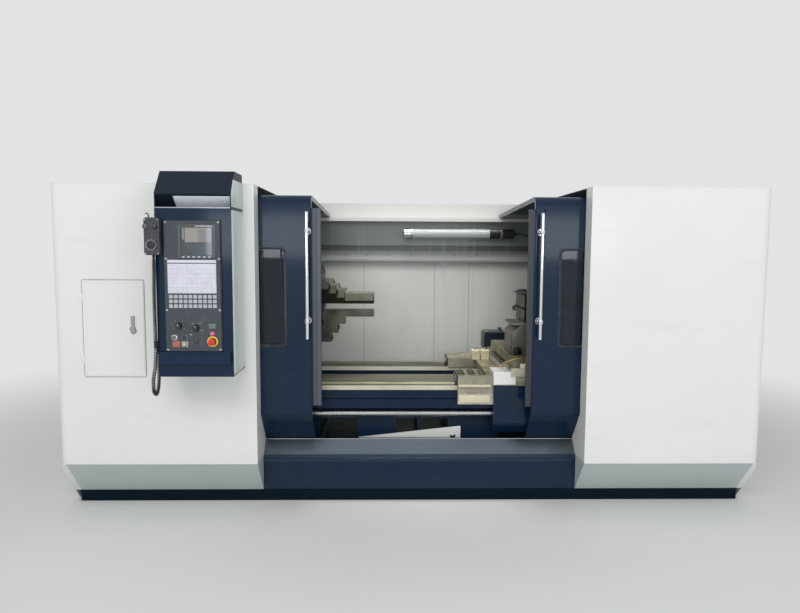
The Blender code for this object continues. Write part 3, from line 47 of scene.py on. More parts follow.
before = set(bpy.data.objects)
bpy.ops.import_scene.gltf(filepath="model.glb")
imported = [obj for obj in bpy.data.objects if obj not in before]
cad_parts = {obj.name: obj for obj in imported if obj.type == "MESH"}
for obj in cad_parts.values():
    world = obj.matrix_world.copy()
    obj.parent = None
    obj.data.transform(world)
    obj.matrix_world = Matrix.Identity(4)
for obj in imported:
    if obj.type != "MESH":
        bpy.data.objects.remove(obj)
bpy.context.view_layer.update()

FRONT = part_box("left_front_panel")[0][1]
AXES = {"X": Vector((1, 0, 0)), "Y": Vector((0, 1, 0)), "Z": Vector((0, 0, 1))}
TURNS = {"X": (0, math.pi / 2, 0), "Y": (-math.pi / 2, 0, 0), "Z": (0, 0, 0)}
OUTER_X = 2.158
SPINDLE_Y = 0.75
SPINDLE_Z = 1.235
BALL_SCREW_Y = 0.345
BALL_SCREW_Z = 0.535
OPENING_LEFT = -0.952
OPENING_RIGHT = 1.054
SKIRT_TOP = 0.303
WAY_FOOT = 0.700
WAY_TOP = 0.7295


# Sizes and colours
def paint(name, description, default):
    """A colour that a user may change."""
    return FloatVectorProperty(
        name=name, description=description, subtype="COLOR", size=3, min=0.0, max=1.0, default=default
    )


class LatheColours(bpy.types.PropertyGroup):
    """Colours of the paints, as linear red, green and blue."""

    white: paint("Housing white", "Enamel of the housings", (0.77, 0.78, 0.74))
    # The skirt grey is painted shade: the housings' white as it looks on the downward-facing skirts
    grey: paint("Skirt grey", "Enamel of the sloped skirts", (0.47, 0.53, 0.51))
    navy: paint("Door navy", "Gloss enamel of the doors, bed and control box", (0.004, 0.017, 0.042))
    plinth: paint("Plinth", "Dark paint of the plinth", (0.002, 0.008, 0.015))
    wall: paint("Rear guard grey", "Paint of the guard behind the ways", (0.60, 0.60, 0.56))


class LatheSizes(bpy.types.PropertyGroup):
    """Sizes of fittings that repeat."""

    screw: FloatProperty(
        name="Cover screw",
        description="Radius of the heads of the cover screws",
        unit="LENGTH",
        min=0.002,
        max=0.02,
        default=0.007,
    )
    bolt: FloatProperty(
        name="Machine bolt",
        description="Radius of the heads of the machine bolts",
        unit="LENGTH",
        min=0.004,
        max=0.04,
        default=0.013,
    )
    lead: FloatProperty(
        name="Screw lead",
        description="Lead of the ball screw's thread",
        unit="LENGTH",
        min=0.005,
        max=0.05,
        default=0.020,
    )
    louvres: IntProperty(
        name="Louvres",
        description="Louvres in one vent",
        min=2,
        max=24,
        default=9,
    )
    cord_turns: IntProperty(
        name="Cord turns",
        description="Turns of the pendant's curled cord",
        min=20,
        max=160,
        default=118,
    )


# Finishes
class Number:
    """A value of a material, worked on with Python's own signs."""

    def __init__(self, finish, socket):
        self.finish = finish
        self.socket = socket

    def __add__(self, other):
        return self.finish.maths("ADD", self, other)

    def __radd__(self, other):
        return self.finish.maths("ADD", other, self)

    def __sub__(self, other):
        return self.finish.maths("SUBTRACT", self, other)

    def __rsub__(self, other):
        return self.finish.maths("SUBTRACT", other, self)

    def __mul__(self, other):
        return self.finish.maths("MULTIPLY", self, other)

    def __rmul__(self, other):
        return self.finish.maths("MULTIPLY", other, self)

    def __truediv__(self, other):
        return self.finish.maths("DIVIDE", self, other)

    def __rtruediv__(self, other):
        return self.finish.maths("DIVIDE", other, self)

    def __gt__(self, other):
        return self.finish.maths("GREATER_THAN", self, other)

    def __lt__(self, other):
        return self.finish.maths("LESS_THAN", self, other)


class Finish:
    """A material that is put together from nodes on Object coordinates."""

    def __init__(self, name, **surface):
        self.material = bpy.data.materials.new(name)
        self.material.use_nodes = True
        self.tree = self.material.node_tree
        self.shader = self.tree.nodes["Principled BSDF"]
        self.set(**surface)
        self.point = self.tree.nodes.new("ShaderNodeTexCoord").outputs["Object"]

    def set(self, **values):
        """Feeds the shader's sockets: a value is set, and anything else is linked."""
        for key, value in values.items():
            self.feed(self.shader.inputs[key.replace("_", " ")], value)

    def feed(self, socket, value):
        if isinstance(value, Number):
            value = value.socket
        if isinstance(value, bpy.types.NodeSocket):
            self.tree.links.new(value, socket)
        elif socket.type == "RGBA" and len(value) == 3:
            socket.default_value = (*value, 1.0)
        else:
            socket.default_value = value

    def node(self, kind, settings=None, inputs=None, output=0):
        """One node of any kind: its settings first, then its sockets' values or links."""
        made = self.tree.nodes.new(kind)
        for key, value in (settings or {}).items():
            setattr(made, key, value)
        for key, value in (inputs or {}).items():
            self.feed(made.inputs[key], value)
        return made.outputs[output]

    def maths(self, operation, first, second=0.0):
        made = self.node("ShaderNodeMath", {"operation": operation}, {0: first, 1: second})
        return Number(self, made)

    def along(self, axis):
        """How far the point lies along X, Y or Z."""
        made = self.node("ShaderNodeSeparateXYZ", None, {0: self.point}, "XYZ".index(axis))
        return Number(self, made)

    def facing(self, axis):
        """The surface normal's share along X, Y or Z."""
        normal = self.node("ShaderNodeNewGeometry", None, None, "Normal")
        made = self.node("ShaderNodeSeparateXYZ", None, {0: normal}, "XYZ".index(axis))
        return Number(self, made)

    def stretched(self, scale):
        return self.node("ShaderNodeMapping", None, {"Vector": self.point, "Scale": scale})

    def noise(self, scale, detail=3.0, roughness=0.55, stretch=(1, 1, 1), twist=0.0):
        inputs = {"Vector": self.stretched(stretch), "Scale": scale, "Detail": detail}
        inputs |= {"Roughness": roughness, "Distortion": twist}
        return Number(self, self.node("ShaderNodeTexNoise", None, inputs, "Fac"))

    def between(self, value, low, high):
        """0 below low, 1 above high, and a smooth step from one to the other."""
        made = self.node(
            "ShaderNodeMapRange",
            {"interpolation_type": "SMOOTHSTEP"},
            {"Value": value, "From Min": low, "From Max": high},
        )
        return Number(self, made)

    def blend(self, share, first, second):
        """One colour at share 0 and the other at share 1."""
        made = self.tree.nodes.new("ShaderNodeMix")
        made.data_type = "RGBA"
        self.feed(made.inputs[0], share)
        self.feed(made.inputs[6], first)
        self.feed(made.inputs[7], second)
        return made.outputs[2]

    def relief(self, height, distance, strength):
        """A bump where a height of 1 stands for a distance in metres."""
        inputs = {"Height": height, "Distance": distance, "Strength": strength}
        return self.node("ShaderNodeBump", None, inputs)

    def stripe(self, axis, places, half):
        """1 on narrow bands round some places along an axis."""
        line = 0.0
        for place in places:
            off = self.maths("ABSOLUTE", self.along(axis) - place)
            line = self.maths("MAXIMUM", off < half, line)
        return line


def shade(colour, factor):
    """A colour made darker or lighter."""
    return tuple(min(channel * factor, 1.0) for channel in colour)


def enamel(name, colour, roughness, gloss, dust=0.25, sheen=0.5):
    """Sprayed enamel: orange peel, soft mottling, wiped smears and dust near the floor."""
    f = Finish(name, Coat_Weight=gloss, Coat_Roughness=roughness * 0.35, Specular_IOR_Level=sheen)
    cloud = f.noise(0.9, 3.0)
    smear = f.between(f.noise(2.6, 5.0, 0.62, (0.7, 0.7, 2.6), 0.6), 0.56, 0.78)
    low = 1 - f.between(f.along("Z") + f.noise(7.0, 4.0) * 0.16, 0.08, 0.52)
    specks = f.between(f.noise(60.0, 2.0), 0.70, 0.78)
    base = f.blend(cloud, shade(colour, 0.93), shade(colour, 1.06))
    base = f.blend(smear * 0.10 * dust / 0.25, base, (0.30, 0.29, 0.26))
    base = f.blend(low * f.noise(18.0, 4.0) * dust, base, (0.27, 0.25, 0.21))
    base = f.blend(specks * 0.25 * dust, base, (0.16, 0.15, 0.13))
    rough = roughness + smear * 0.10 + low * dust * 0.35 + cloud * 0.04
    peeled = f.relief(f.noise(240.0, 2.0), 0.00036, 0.35)
    f.set(Base_Color=base, Roughness=rough, Normal=peeled)
    return f.material


def skirt_enamel(name, low, high):
    """The skirts' enamel: grey that paints the housings' white in shade on the downward-facing slope, and
    the white itself on the cheeks and the outer corners.
    """
    f = Finish(name, Coat_Weight=0.2, Coat_Roughness=0.12)
    cloud = f.noise(1.1, 3.0)
    height = f.along("Z")
    corner = f.maths("ABSOLUTE", f.along("X")) > OUTER_X - 0.040
    white = f.maths("MAXIMUM", height > SKIRT_TOP + 0.0001, corner)
    dirt = (1 - f.between(height + f.noise(9.0, 4.0) * 0.14, 0.06, 0.30)) * f.noise(22.0, 4.0)
    # Painted shade: the grey below the fold stands for the white enamel facing downwards
    below = f.blend(cloud, shade(low, 0.94), shade(low, 1.06))
    above = f.blend(cloud, shade(high, 0.93), shade(high, 1.05))
    base = f.blend(white, below, above)
    base = f.blend(dirt * 0.30, base, (0.24, 0.23, 0.20))
    f.set(Base_Color=base, Roughness=0.34 + dirt * 0.25 + cloud * 0.05)
    f.set(Normal=f.relief(f.noise(240.0, 2.0), 0.0004, 0.35))
    return f.material


def brushed(name, colour, roughness, grain="X", stain=0.2):
    """Metal with a grain along one axis, and faint stains."""
    f = Finish(name, Metallic=1.0)
    stretch = [90.0, 90.0, 90.0]
    stretch["XYZ".index(grain)] = 1.6
    lines = f.noise(3.0, 4.0, 0.6, stretch)
    stains = f.between(f.noise(3.5, 5.0, 0.6), 0.45, 0.75)
    base = f.blend(lines, shade(colour, 0.82), shade(colour, 1.10))
    base = f.blend(stains * stain, base, shade(colour, 0.55))
    rough = roughness + lines * 0.12 + stains * stain * 0.5
    f.set(Base_Color=base, Roughness=rough, Normal=f.relief(lines, 0.0003, 0.25))
    return f.material


def sill_steel(name, colour, lip):
    """The sill: brushed stainless steel with scuffs, and a painted lip at its front."""
    f = Finish(name, Coat_Weight=0.1, Coat_Roughness=0.2)
    front = (f.facing("Y") < -0.7) * (f.along("Z") < 0.30)
    lines = f.noise(3.0, 4.0, 0.6, (1.6, 90.0, 90.0))
    scuffs = f.between(f.noise(3.5, 5.0, 0.6, (1.0, 2.0, 2.0)), 0.45, 0.75)
    base = f.blend(lines, shade(colour, 0.85), shade(colour, 1.08))
    base = f.blend(scuffs * 0.25, base, shade(colour, 0.6))
    base = f.blend(front, base, lip)
    rough = 0.20 + lines * 0.10 + scuffs * 0.14
    f.set(Base_Color=base, Metallic=1 - front, Roughness=rough)
    f.set(Normal=f.relief(lines, 0.0003, 0.25))
    return f.material


def machined_iron(name, colour, oil, roughness=0.34, rings=None):
    """Cut iron with tool marks and an uneven film of oil."""
    f = Finish(name, Metallic=0.75)
    film = f.between(f.noise(6.0, 5.0, 0.6), 0.40, 0.70)
    grain = f.noise(150.0, 3.0)
    base = f.blend(film, colour, oil)
    base = f.blend(grain * 0.30, base, shade(colour, 0.55))
    marks = f.noise(2.0, 3.0, 0.5, (4.0, 170.0, 170.0))
    if rings:
        reach = f.node("ShaderNodeMapping", None, {"Vector": f.point, "Location": rings})
        wave = f.node(
            "ShaderNodeTexWave",
            {"wave_type": "RINGS", "rings_direction": "X", "wave_profile": "SIN"},
            {"Vector": reach, "Scale": 60.0, "Distortion": 0.3},
            "Fac",
        )
        marks = Number(f, wave)
    rough = roughness + film * 0.14 + grain * 0.08
    f.set(Base_Color=base, Roughness=rough, Normal=f.relief(marks, 0.0004, 0.35))
    return f.material


def plastic(name, colour, roughness, grain=0.3, **surface):
    """Moulded plastic with a fine grain and handling marks."""
    f = Finish(name, **surface)
    fine = f.noise(900.0, 2.0)
    worn_and_shaded = f.between(f.noise(24.0, 4.0), 0.48, 0.74)
    base = f.blend(f.noise(14.0), shade(colour, 0.88), shade(colour, 1.12))
    base = f.blend(worn_and_shaded * 0.12, base, (0.22, 0.21, 0.20))
    f.set(Base_Color=base, Roughness=roughness - worn_and_shaded * 0.10 + fine * 0.06)
    f.set(Normal=f.relief(fine, 0.0002, grain))
    return f.material


def clear(name, tint, roughness=0.03, amount=0.9):
    """Clear sheet with a film of coolant haze."""
    f = Finish(name, Transmission_Weight=amount, IOR=1.45, Specular_IOR_Level=0.16)
    haze = f.between(f.noise(5.0, 5.0, 0.65, (1, 1, 0.35)), 0.42, 0.78)
    f.set(Base_Color=f.blend(haze * 0.5, tint, shade(tint, 0.7)), Roughness=roughness + haze * 0.09)
    return f.material


def bed_iron(name, colour):
    """The bed's casting: ground ways, ivory ground edges, and navy enamel below them."""
    f = Finish(name, Coat_Weight=0.1, Coat_Roughness=0.2, Specular_IOR_Level=0.15)
    height = f.along("Z")
    back = f.along("Y") - FRONT
    top = f.facing("Z") > 0.7
    ground = (height > WAY_FOOT) * (1 - f.between(back, 0.475, 0.480))
    ground = f.maths("MAXIMUM", ground, (height > WAY_TOP) * top)
    edge = (height > WAY_FOOT) * (f.facing("Y") < -0.7)
    cast = f.between(f.noise(30.0, 5.0, 0.6), 0.35, 0.7)
    film = f.between(f.noise(5.0, 5.0, 0.65, (0.35, 1.6, 1.0)), 0.36, 0.68)
    coat = f.blend(f.noise(4.0), shade(colour, 0.75), shade(colour, 1.15))
    coat = f.blend((height > 0.60) * (height < 0.72) * cast * 0.25, coat, shade(colour, 0.35))
    oily = f.blend(film, (0.185, 0.175, 0.110), (0.105, 0.098, 0.055))
    ivory = f.blend(film, (0.66, 0.63, 0.52), (0.50, 0.46, 0.34))
    inner = (back > 0.480) * (back < 0.960) * (height > 0.55)
    dark = top * (height > WAY_TOP) * (back > 0.860) * (back < 1.130)
    base = f.blend(inner * 0.85, coat, shade((0.26, 0.245, 0.165), 0.55))
    base = f.blend(ground, base, oily)
    base = f.blend(dark, base, (0.045, 0.040, 0.032))
    base = f.blend(edge, base, ivory)
    scrape = f.noise(9.0, 4.0, 0.6, (1.0, 6.0, 6.0))
    metal = ground * (1 - edge) * 0.65
    f.set(Base_Color=base, Metallic=metal, Roughness=0.30 + film * 0.16 + (1 - ground) * 0.05)
    f.set(Normal=f.relief(scrape * ground + cast * (1 - ground) * 0.6, 0.0006, 0.35))
    return f.material


def saddle_iron(name):
    """The saddle: ivory ground faces to the front, with a band of painted shade across them, and oily cut
    iron on top.
    """
    f = Finish(name)
    front = f.facing("Y") < -0.7
    top = f.facing("Z") > 0.7
    film = f.between(f.noise(7.0, 5.0, 0.65), 0.36, 0.68)
    ivory = f.blend(film, (0.62, 0.60, 0.50), (0.52, 0.48, 0.37))
    height = f.along("Z")
    # Painted shade: a darker band on the front faces between 0.68 m and 0.80 m high
    worn_and_shaded = f.blend(film, (0.34, 0.32, 0.24), (0.22, 0.20, 0.14))
    ivory = f.blend((height > 0.680) * (height < 0.800), ivory, worn_and_shaded)
    oily = f.blend(film, (0.42, 0.39, 0.28), (0.20, 0.18, 0.11))
    side = f.blend(film, (0.30, 0.28, 0.22), (0.16, 0.15, 0.11))
    base = f.blend(top, side, oily)
    base = f.blend(front, base, ivory)
    scrape = f.noise(16.0, 4.0, 0.6, (1.0, 3.0, 3.0))
    f.set(Base_Color=base, Metallic=top * 0.6, Roughness=0.36 + film * 0.14)
    f.set(Normal=f.relief(scrape, 0.0005, 0.3))
    return f.material


def guard_wall(name, colour):
    """The rear guard: painted sheet in panels with dry splashes, and painted shade under its two steps, on
    the upper step's underside and on the upper panel.
    """
    f = Finish(name, Coat_Weight=0.15, Coat_Roughness=0.25)
    height = f.along("Z")
    cloud = f.noise(1.2, 3.0)
    dry = f.between(f.noise(16.0, 5.0, 0.65), 0.52, 0.70)
    dry = dry * (1 - f.between(height, 0.75, 1.35))
    runs = f.between(f.noise(9.0, 3.0, 0.5, (3.0, 1.0, 0.12)), 0.50, 0.80)
    base = f.blend(cloud, shade(colour, 0.93), shade(colour, 1.06))
    # Painted shade: gradients that darken up to each step, a dark band for the upper step's underside, and a
    # darker upper panel above the fold
    low_step, high_step, fold = 1.512, 1.600, 1.648
    shadow_under_low_step = f.between(height, low_step - 0.097, low_step) * (height < low_step + 0.006)
    base = f.blend(shadow_under_low_step, base, (0.15, 0.16, 0.145))
    base = f.blend(f.between(height, high_step - 0.100, high_step), base, (0.15, 0.165, 0.15))
    base = f.blend(height > high_step + 0.002, base, (0.07, 0.08, 0.07))
    base = f.blend(height > fold, base, (0.16, 0.185, 0.165))
    base = f.blend(runs * 0.18, base, shade(colour, 0.62))
    base = f.blend(dry * 0.25, base, (0.42, 0.40, 0.33))
    seams = f.stripe("X", (-0.355, 0.226, 0.508, -1.25, 1.35), 0.0016) * (height < 1.50)
    base = f.blend(seams * 0.75, base, (0.05, 0.05, 0.045))
    f.set(Base_Color=base, Roughness=0.34 + cloud * 0.08 + dry * 0.25)
    f.set(Normal=f.relief(f.noise(200.0, 2.0) - seams * 3, 0.0004, 0.3))
    return f.material


def display(name):
    """A liquid crystal screen: a dark face with a bar of softkeys, under a painted reflection that makes a
    pale field above the bar, and a painted highlight down its left.
    """
    f = Finish(name, Coat_Weight=1.0, Coat_Roughness=0.04, Roughness=0.18)
    across = f.along("X")
    height = f.along("Z")
    # Painted reflection: a pale field, lighter at its left and near its top; painted highlight: a strip near
    # the left edge
    field = f.between(height + f.noise(30.0, 2.0) * 0.006, 1.654, 1.662)
    field = field * f.between(across, -1.276, -1.270)
    painted_reflection = f.blend(f.between(across, -1.215, -1.185), (0.26, 0.235, 0.200), (0.150, 0.145, 0.145))
    painted_reflection = f.blend(f.between(height, 1.715, 1.735) * 0.4, painted_reflection, (0.33, 0.31, 0.31))
    dark = f.blend(f.noise(20.0), (0.018, 0.032, 0.040), (0.030, 0.048, 0.058))
    painted_highlight_strip = f.stripe("X", (-1.283,), 0.006) * (height > 1.668)
    base = f.blend(field, dark, painted_reflection)
    base = f.blend(painted_highlight_strip * 0.8, base, (0.20, 0.25, 0.25))
    f.set(Base_Color=base)
    return f.material


def tongue_strips(name, light=1.0):
    """The door's edge: two extruded strips with dark joints between them; a light under 1 darkens the strips
    into painted shade.
    """
    f = Finish(name)
    height = f.noise(2.0, 3.0, 0.5, (60.0, 60.0, 1.0))
    dark = f.stripe("X", (-0.6335, -0.6075, -0.5785), 0.0030)
    low, high = shade((0.065, 0.075, 0.095), light), shade((0.11, 0.12, 0.14), light)
    base = f.blend(height, low, high)
    base = f.blend(dark, base, (0.02, 0.028, 0.045))
    f.set(Base_Color=base, Metallic=0.3 - dark * 0.3, Roughness=0.32 + height * 0.1)
    return f.material


def make_finishes():
    """Every finish of the machine by its name."""
    tone = bpy.context.scene.lathe_colours
    axis = (0, -SPINDLE_Y - FRONT, -SPINDLE_Z)
    return {
        "white": enamel("white_enamel", tone.white, 0.36, 0.25),
        "cover": enamel("cover_enamel", shade(tone.grey, 1.35), 0.36, 0.2),
        "skirt": skirt_enamel("skirt_enamel", tone.grey, tone.white),
        "navy": enamel("navy_enamel", tone.navy, 0.24, 0.35, 0.03, sheen=0.1),
        "beam": enamel("beam_enamel", shade(tone.white, 0.80), 0.40, 0.1, 0.1),
        "hood": enamel("hood_enamel", (0.010, 0.017, 0.030), 0.42, 0.05, 0.06, sheen=0.15),
        "pendant": plastic("pendant_case", (0.040, 0.043, 0.052), 0.42),
        "sage": plastic("sage_label", (0.13, 0.17, 0.14), 0.45, 0.2),
        "salmon": plastic("salmon_label", (0.48, 0.15, 0.10), 0.45, 0.2),
        "ivory": plastic("ivory_cover", (0.46, 0.42, 0.31), 0.45, 0.3),
        "gasket": plastic("window_gasket", (0.020, 0.026, 0.040), 0.45, 0.3),
        "joint": plastic("grey_joint", (0.24, 0.25, 0.24), 0.6, 0.3),
        "steel_grey": plastic("grey_latch", (0.34, 0.35, 0.35), 0.35, 0.2),
        # A pale plate that paints a reflection on the hood's slanted underside
        "reflection_plate": plastic("painted_reflection_plate", (0.84, 0.87, 0.96), 0.35, 0.2),
        "bezel": plastic("screen_bezel", (0.070, 0.080, 0.080), 0.30, 0.2),
        "brown": plastic("brown_knob", (0.100, 0.075, 0.065), 0.40, 0.2),
        "plinth": enamel("plinth_enamel", tone.plinth, 0.45, 0.0, 0.006, sheen=0.06),
        "head": enamel("headstock_enamel", shade(tone.navy, 0.55), 0.38, 0.3, 0.2),
        "wall": guard_wall("guard_wall", tone.wall),
        "bed": bed_iron("bed_casting", tone.navy),
        "saddle": saddle_iron("saddle_iron"),
        "sill": sill_steel("sill_stainless", (0.155, 0.185, 0.22), tone.navy),
        "steel": brushed("bright_steel", (0.55, 0.55, 0.53), 0.26),
        "quill": brushed("ground_quill", (0.62, 0.61, 0.58), 0.20),
        "aluminium": brushed("aluminium_strip", (0.58, 0.61, 0.66), 0.30, "Z", 0.1),
        "chrome": brushed("polished_chrome", (0.86, 0.87, 0.88), 0.06, "Z", 0.05),
        "slide": machined_iron("slide_iron", (0.30, 0.28, 0.20), (0.15, 0.135, 0.08)),
        "tower": machined_iron("tower_iron", (0.20, 0.20, 0.17), (0.11, 0.105, 0.08), 0.40),
        "turret": machined_iron("blackened_steel", (0.045, 0.045, 0.045), (0.02, 0.02, 0.018)),
        "chuck": machined_iron("turned_chuck", (0.055, 0.055, 0.050), (0.022, 0.022, 0.018), 0.30, axis),
        "jaw": machined_iron("hardened_jaw", (0.135, 0.135, 0.105), (0.06, 0.06, 0.045)),
        "tongue": tongue_strips("door_tongue"),
        # The right door's seal: the same strips darkened into painted shade
        "painted_shade_tongue": tongue_strips("right_door_tongue", 0.4),
        # The beads: a lighter copy of the navy, a painted highlight on their tops
        "highlight_bead": enamel("highlight_bead_enamel", shade(tone.navy, 1.9), 0.24, 0.35, 0.03, sheen=0.1),
        "glass": clear("window_sheet", (0.035, 0.075, 0.125)),
        "lamp": clear("lamp_glass", (0.90, 0.92, 0.93), 0.05, 0.55),
        "screen": display("dark_screen"),
        "rubber": plastic("black_rubber", (0.018, 0.018, 0.019), 0.62, 0.6),
        "cord": plastic("cord_sheath", (0.020, 0.020, 0.022), 0.42, 0.4),
        "panel": plastic("panel_grey", (0.044, 0.053, 0.063), 0.42),
        "key": plastic("key_grey", (0.46, 0.46, 0.50), 0.45),
        "pale": plastic("key_white", (0.66, 0.66, 0.72), 0.42),
        "black": plastic("black_plastic", (0.016, 0.016, 0.018), 0.38),
        "red": plastic("red_plastic", (0.62, 0.030, 0.035), 0.30),
        "yellow": plastic("yellow_plastic", (0.80, 0.52, 0.02), 0.35),
        "green": plastic("green_plastic", (0.03, 0.30, 0.12), 0.35),
        "cream": plastic("cream_lens", (0.66, 0.60, 0.42), 0.35),
        "pink": plastic("pink_plate", (0.72, 0.16, 0.28), 0.45),
        "ink": plastic("printed_ink", (0.70, 0.70, 0.70), 0.5, 0.05),
        "brass": brushed("brass_fitting", (0.62, 0.46, 0.20), 0.30),
        # A dark finish for painted shade inside holes
        "hole_shade": plastic("painted_hole_shade", (0.006, 0.007, 0.008), 0.7, 0.2),
    }


# Modelling; FINISH holds every finish by its name once the finishes are made
FINISH = {}


def at(x, y, z):
    """A point measured from the housings' front face and the floor."""
    return Vector((x, y + FRONT, z))


def begin():
    """Object mode with nothing selected."""
    if bpy.context.object and bpy.context.object.mode != "OBJECT":
        bpy.ops.object.mode_set(mode="OBJECT")
    bpy.ops.object.select_all(action="DESELECT")


def only(made):
    """One object, selected and active."""
    begin()
    bpy.context.view_layer.objects.active = made
    made.select_set(True)
    return made


def settle(made):
    """Puts an object's place, turn and size into its mesh."""
    only(made)
    bpy.ops.object.transform_apply(location=True, rotation=True, scale=True)
    return made


def modify(made, kind, **settings):
    """Adds a modifier and applies it."""
    only(made)
    change = made.modifiers.new(kind.lower(), kind)
    for key, value in settings.items():
        setattr(change, key, value)
    bpy.ops.object.modifier_apply(modifier=change.name)
    return made


def heal(made):
    """Merges double points and turns every face outwards."""
    only(made)
    bpy.ops.object.mode_set(mode="EDIT")
    bpy.ops.mesh.select_all(action="SELECT")
    bpy.ops.mesh.remove_doubles(threshold=0.00001)
    bpy.ops.mesh.normals_make_consistent(inside=False)
    bpy.ops.object.mode_set(mode="OBJECT")
    return made


def soften(made, width, steps=2, angle=32):
    """Rounds the sharp edges."""
    return modify(
        made,
        "BEVEL",
        width=width,
        segments=steps,
        limit_method="ANGLE",
        angle_limit=math.radians(angle),
        harden_normals=False,
    )


def pick(made, test):
    """Opens the mesh with the faces selected whose middle and normal pass the test."""
    only(made)
    bpy.ops.object.mode_set(mode="EDIT")
    bpy.ops.mesh.select_mode(type="FACE")
    bpy.ops.mesh.select_all(action="DESELECT")
    mesh = bmesh.from_edit_mesh(made.data)
    for face in mesh.faces:
        face.select_set(bool(test(face.calc_center_median(), face.normal)))
    bmesh.update_edit_mesh(made.data)


def facing(axis, side=1):
    """A test for faces that look along an axis."""
    return lambda middle, normal: normal.dot(AXES[axis]) * side > 0.9


def recess(made, test, rim, depth):
    """Insets the faces that pass the test, and sinks what is inside the rim."""
    pick(made, test)
    bpy.ops.mesh.inset(thickness=rim)
    bpy.ops.mesh.inset(thickness=0.0002, depth=-depth)
    bpy.ops.object.mode_set(mode="OBJECT")
    return made


def block(low, high, edge=0.0, steps=2):
    """A box between two corners with rounded edges."""
    begin()
    low, high = at(*low), at(*high)
    bpy.ops.mesh.primitive_cube_add(size=1, location=(low + high) / 2)
    made = bpy.context.object
    made.scale = high - low
    settle(made)
    return soften(made, edge, steps) if edge else made


def rod(axis, start, length, radius, steps=32, edge=0.0, tip=None):
    """A round bar from a point along an axis, or back along it, tapered to the tip."""
    begin()
    ends = [radius, radius if tip is None else tip]
    if length < 0:
        ends.reverse()
    bpy.ops.mesh.primitive_cone_add(
        vertices=steps,
        radius1=ends[0],
        radius2=ends[1],
        depth=abs(length),
        location=at(*start) + AXES[axis] * length / 2,
        rotation=TURNS[axis],
    )
    made = settle(bpy.context.object)
    return soften(made, edge, 2, 50) if edge else made


def ring(axis, centre, radius, wire, steps=40, sides=10):
    """A round ring."""
    begin()
    bpy.ops.mesh.primitive_torus_add(
        major_segments=steps,
        minor_segments=sides,
        major_radius=radius,
        minor_radius=wire,
        location=at(*centre),
        rotation=TURNS[axis],
    )
    return settle(bpy.context.object)


def curve(kind, **settings):
    """An empty curve, selected and active."""
    begin()
    made = bpy.data.objects.new("line", bpy.data.curves.new("line", kind))
    bpy.context.collection.objects.link(made)
    for key, value in settings.items():
        setattr(made.data, key, value)
    return only(made)


def meshed(made):
    """Makes a mesh of a curve or text."""
    only(made)
    bpy.ops.object.convert(target="MESH")
    return bpy.context.object


def pipe(points, radius, steps=12, bend=6, poly=False):
    """A round pipe or wire through the points."""
    made = curve(
        "CURVE",
        dimensions="3D",
        bevel_depth=radius,
        bevel_resolution=max(steps // 4, 1),
        resolution_u=bend,
        use_fill_caps=True,
    )
    if poly:
        line = made.data.splines.new("POLY")
        line.points.add(len(points) - 1)
        for point, place in zip(line.points, points):
            point.co = (*at(*place), 1)
    else:
        line = made.data.splines.new("BEZIER")
        line.bezier_points.add(len(points) - 1)
        for point, place in zip(line.bezier_points, points):
            point.co = at(*place)
            point.handle_left_type = point.handle_right_type = "AUTO"
    return heal(meshed(made))


def straight(start, end, radius, steps=8):
    """A straight round wire."""
    return pipe([start, end], radius, steps, poly=True)


def turned(axis, centre, profile, steps=48):
    """A body turned about an axis from (along, radius) points."""
    made = curve("CURVE", dimensions="3D")
    line = made.data.splines.new("POLY")
    line.points.add(len(profile) - 1)
    for point, (along, radius) in zip(line.points, profile):
        point.co = (radius, 0, along, 1)
    made = meshed(made)
    turn = {"axis": "Z", "steps": steps, "render_steps": steps}
    modify(made, "SCREW", use_merge_vertices=True, merge_threshold=0.00001, **turn)
    made.rotation_euler = TURNS[axis]
    made.location = at(*centre)
    return heal(settle(made))


def ball(centre, radius, steps=24):
    """A round knob."""
    half = [2 * math.pi * n / steps for n in range(steps // 2 + 1)]
    return turned("Z", centre, [(-radius * math.cos(a), radius * math.sin(a)) for a in half], steps)


def hoop(axis, centre, profile, steps):
    """A turned ring, whose section closes on its first point."""
    return turned(axis, centre, [*profile, profile[0]], steps)


def rounded(left, bottom, right, top, radius, steps=5):
    """The outline of a rectangle with round corners."""
    points = []
    corners = (
        (right - radius, top - radius, 0),
        (left + radius, top - radius, 90),
        (left + radius, bottom + radius, 180),
        (right - radius, bottom + radius, 270),
    )
    for x, y, first in corners:
        for step in range(steps + 1):
            turn = math.radians(first + 90 * step / steps)
            points.append((x + radius * math.cos(turn), y + radius * math.sin(turn)))
    return points


PLANES = {
    "XZ": Matrix(((1, 0, 0), (0, 0, 1), (0, 1, 0))),
    "XY": Matrix(((1, 0, 0), (0, 1, 0), (0, 0, 1))),
    "YZ": Matrix(((0, 0, 1), (1, 0, 0), (0, 1, 0))),
}


def plate(plane, low, high, *loops, edge=0.0):
    """A flat plate from one depth to another: its outline first, and then its holes."""
    made = curve("CURVE", dimensions="2D", fill_mode="BOTH", extrude=abs(high - low) / 2)
    for loop in loops:
        line = made.data.splines.new("POLY")
        line.points.add(len(loop) - 1)
        line.use_cyclic_u = True
        for point, (u, v) in zip(line.points, loop):
            point.co = (u, v, 0, 1)
    made = meshed(made)
    middle = PLANES[plane] @ Vector((0, 0, (low + high) / 2))
    made.matrix_world = Matrix.Translation(at(*middle)) @ PLANES[plane].to_4x4()
    heal(settle(made))
    modify(made, "DECIMATE", decimate_type="DISSOLVE", angle_limit=0.01)
    return soften(made, edge, 2, 60) if edge else made


def figures(words, size, place):
    """Plain numbers that face the front with their middle at a place."""
    made = curve(
        "FONT", body=words, size=size, extrude=0.0002, align_x="CENTER", align_y="CENTER", resolution_u=3
    )
    made = meshed(made)
    made.matrix_world = Matrix.Translation(at(*place)) @ Matrix.Rotation(math.pi / 2, 4, "X")
    return settle(made)


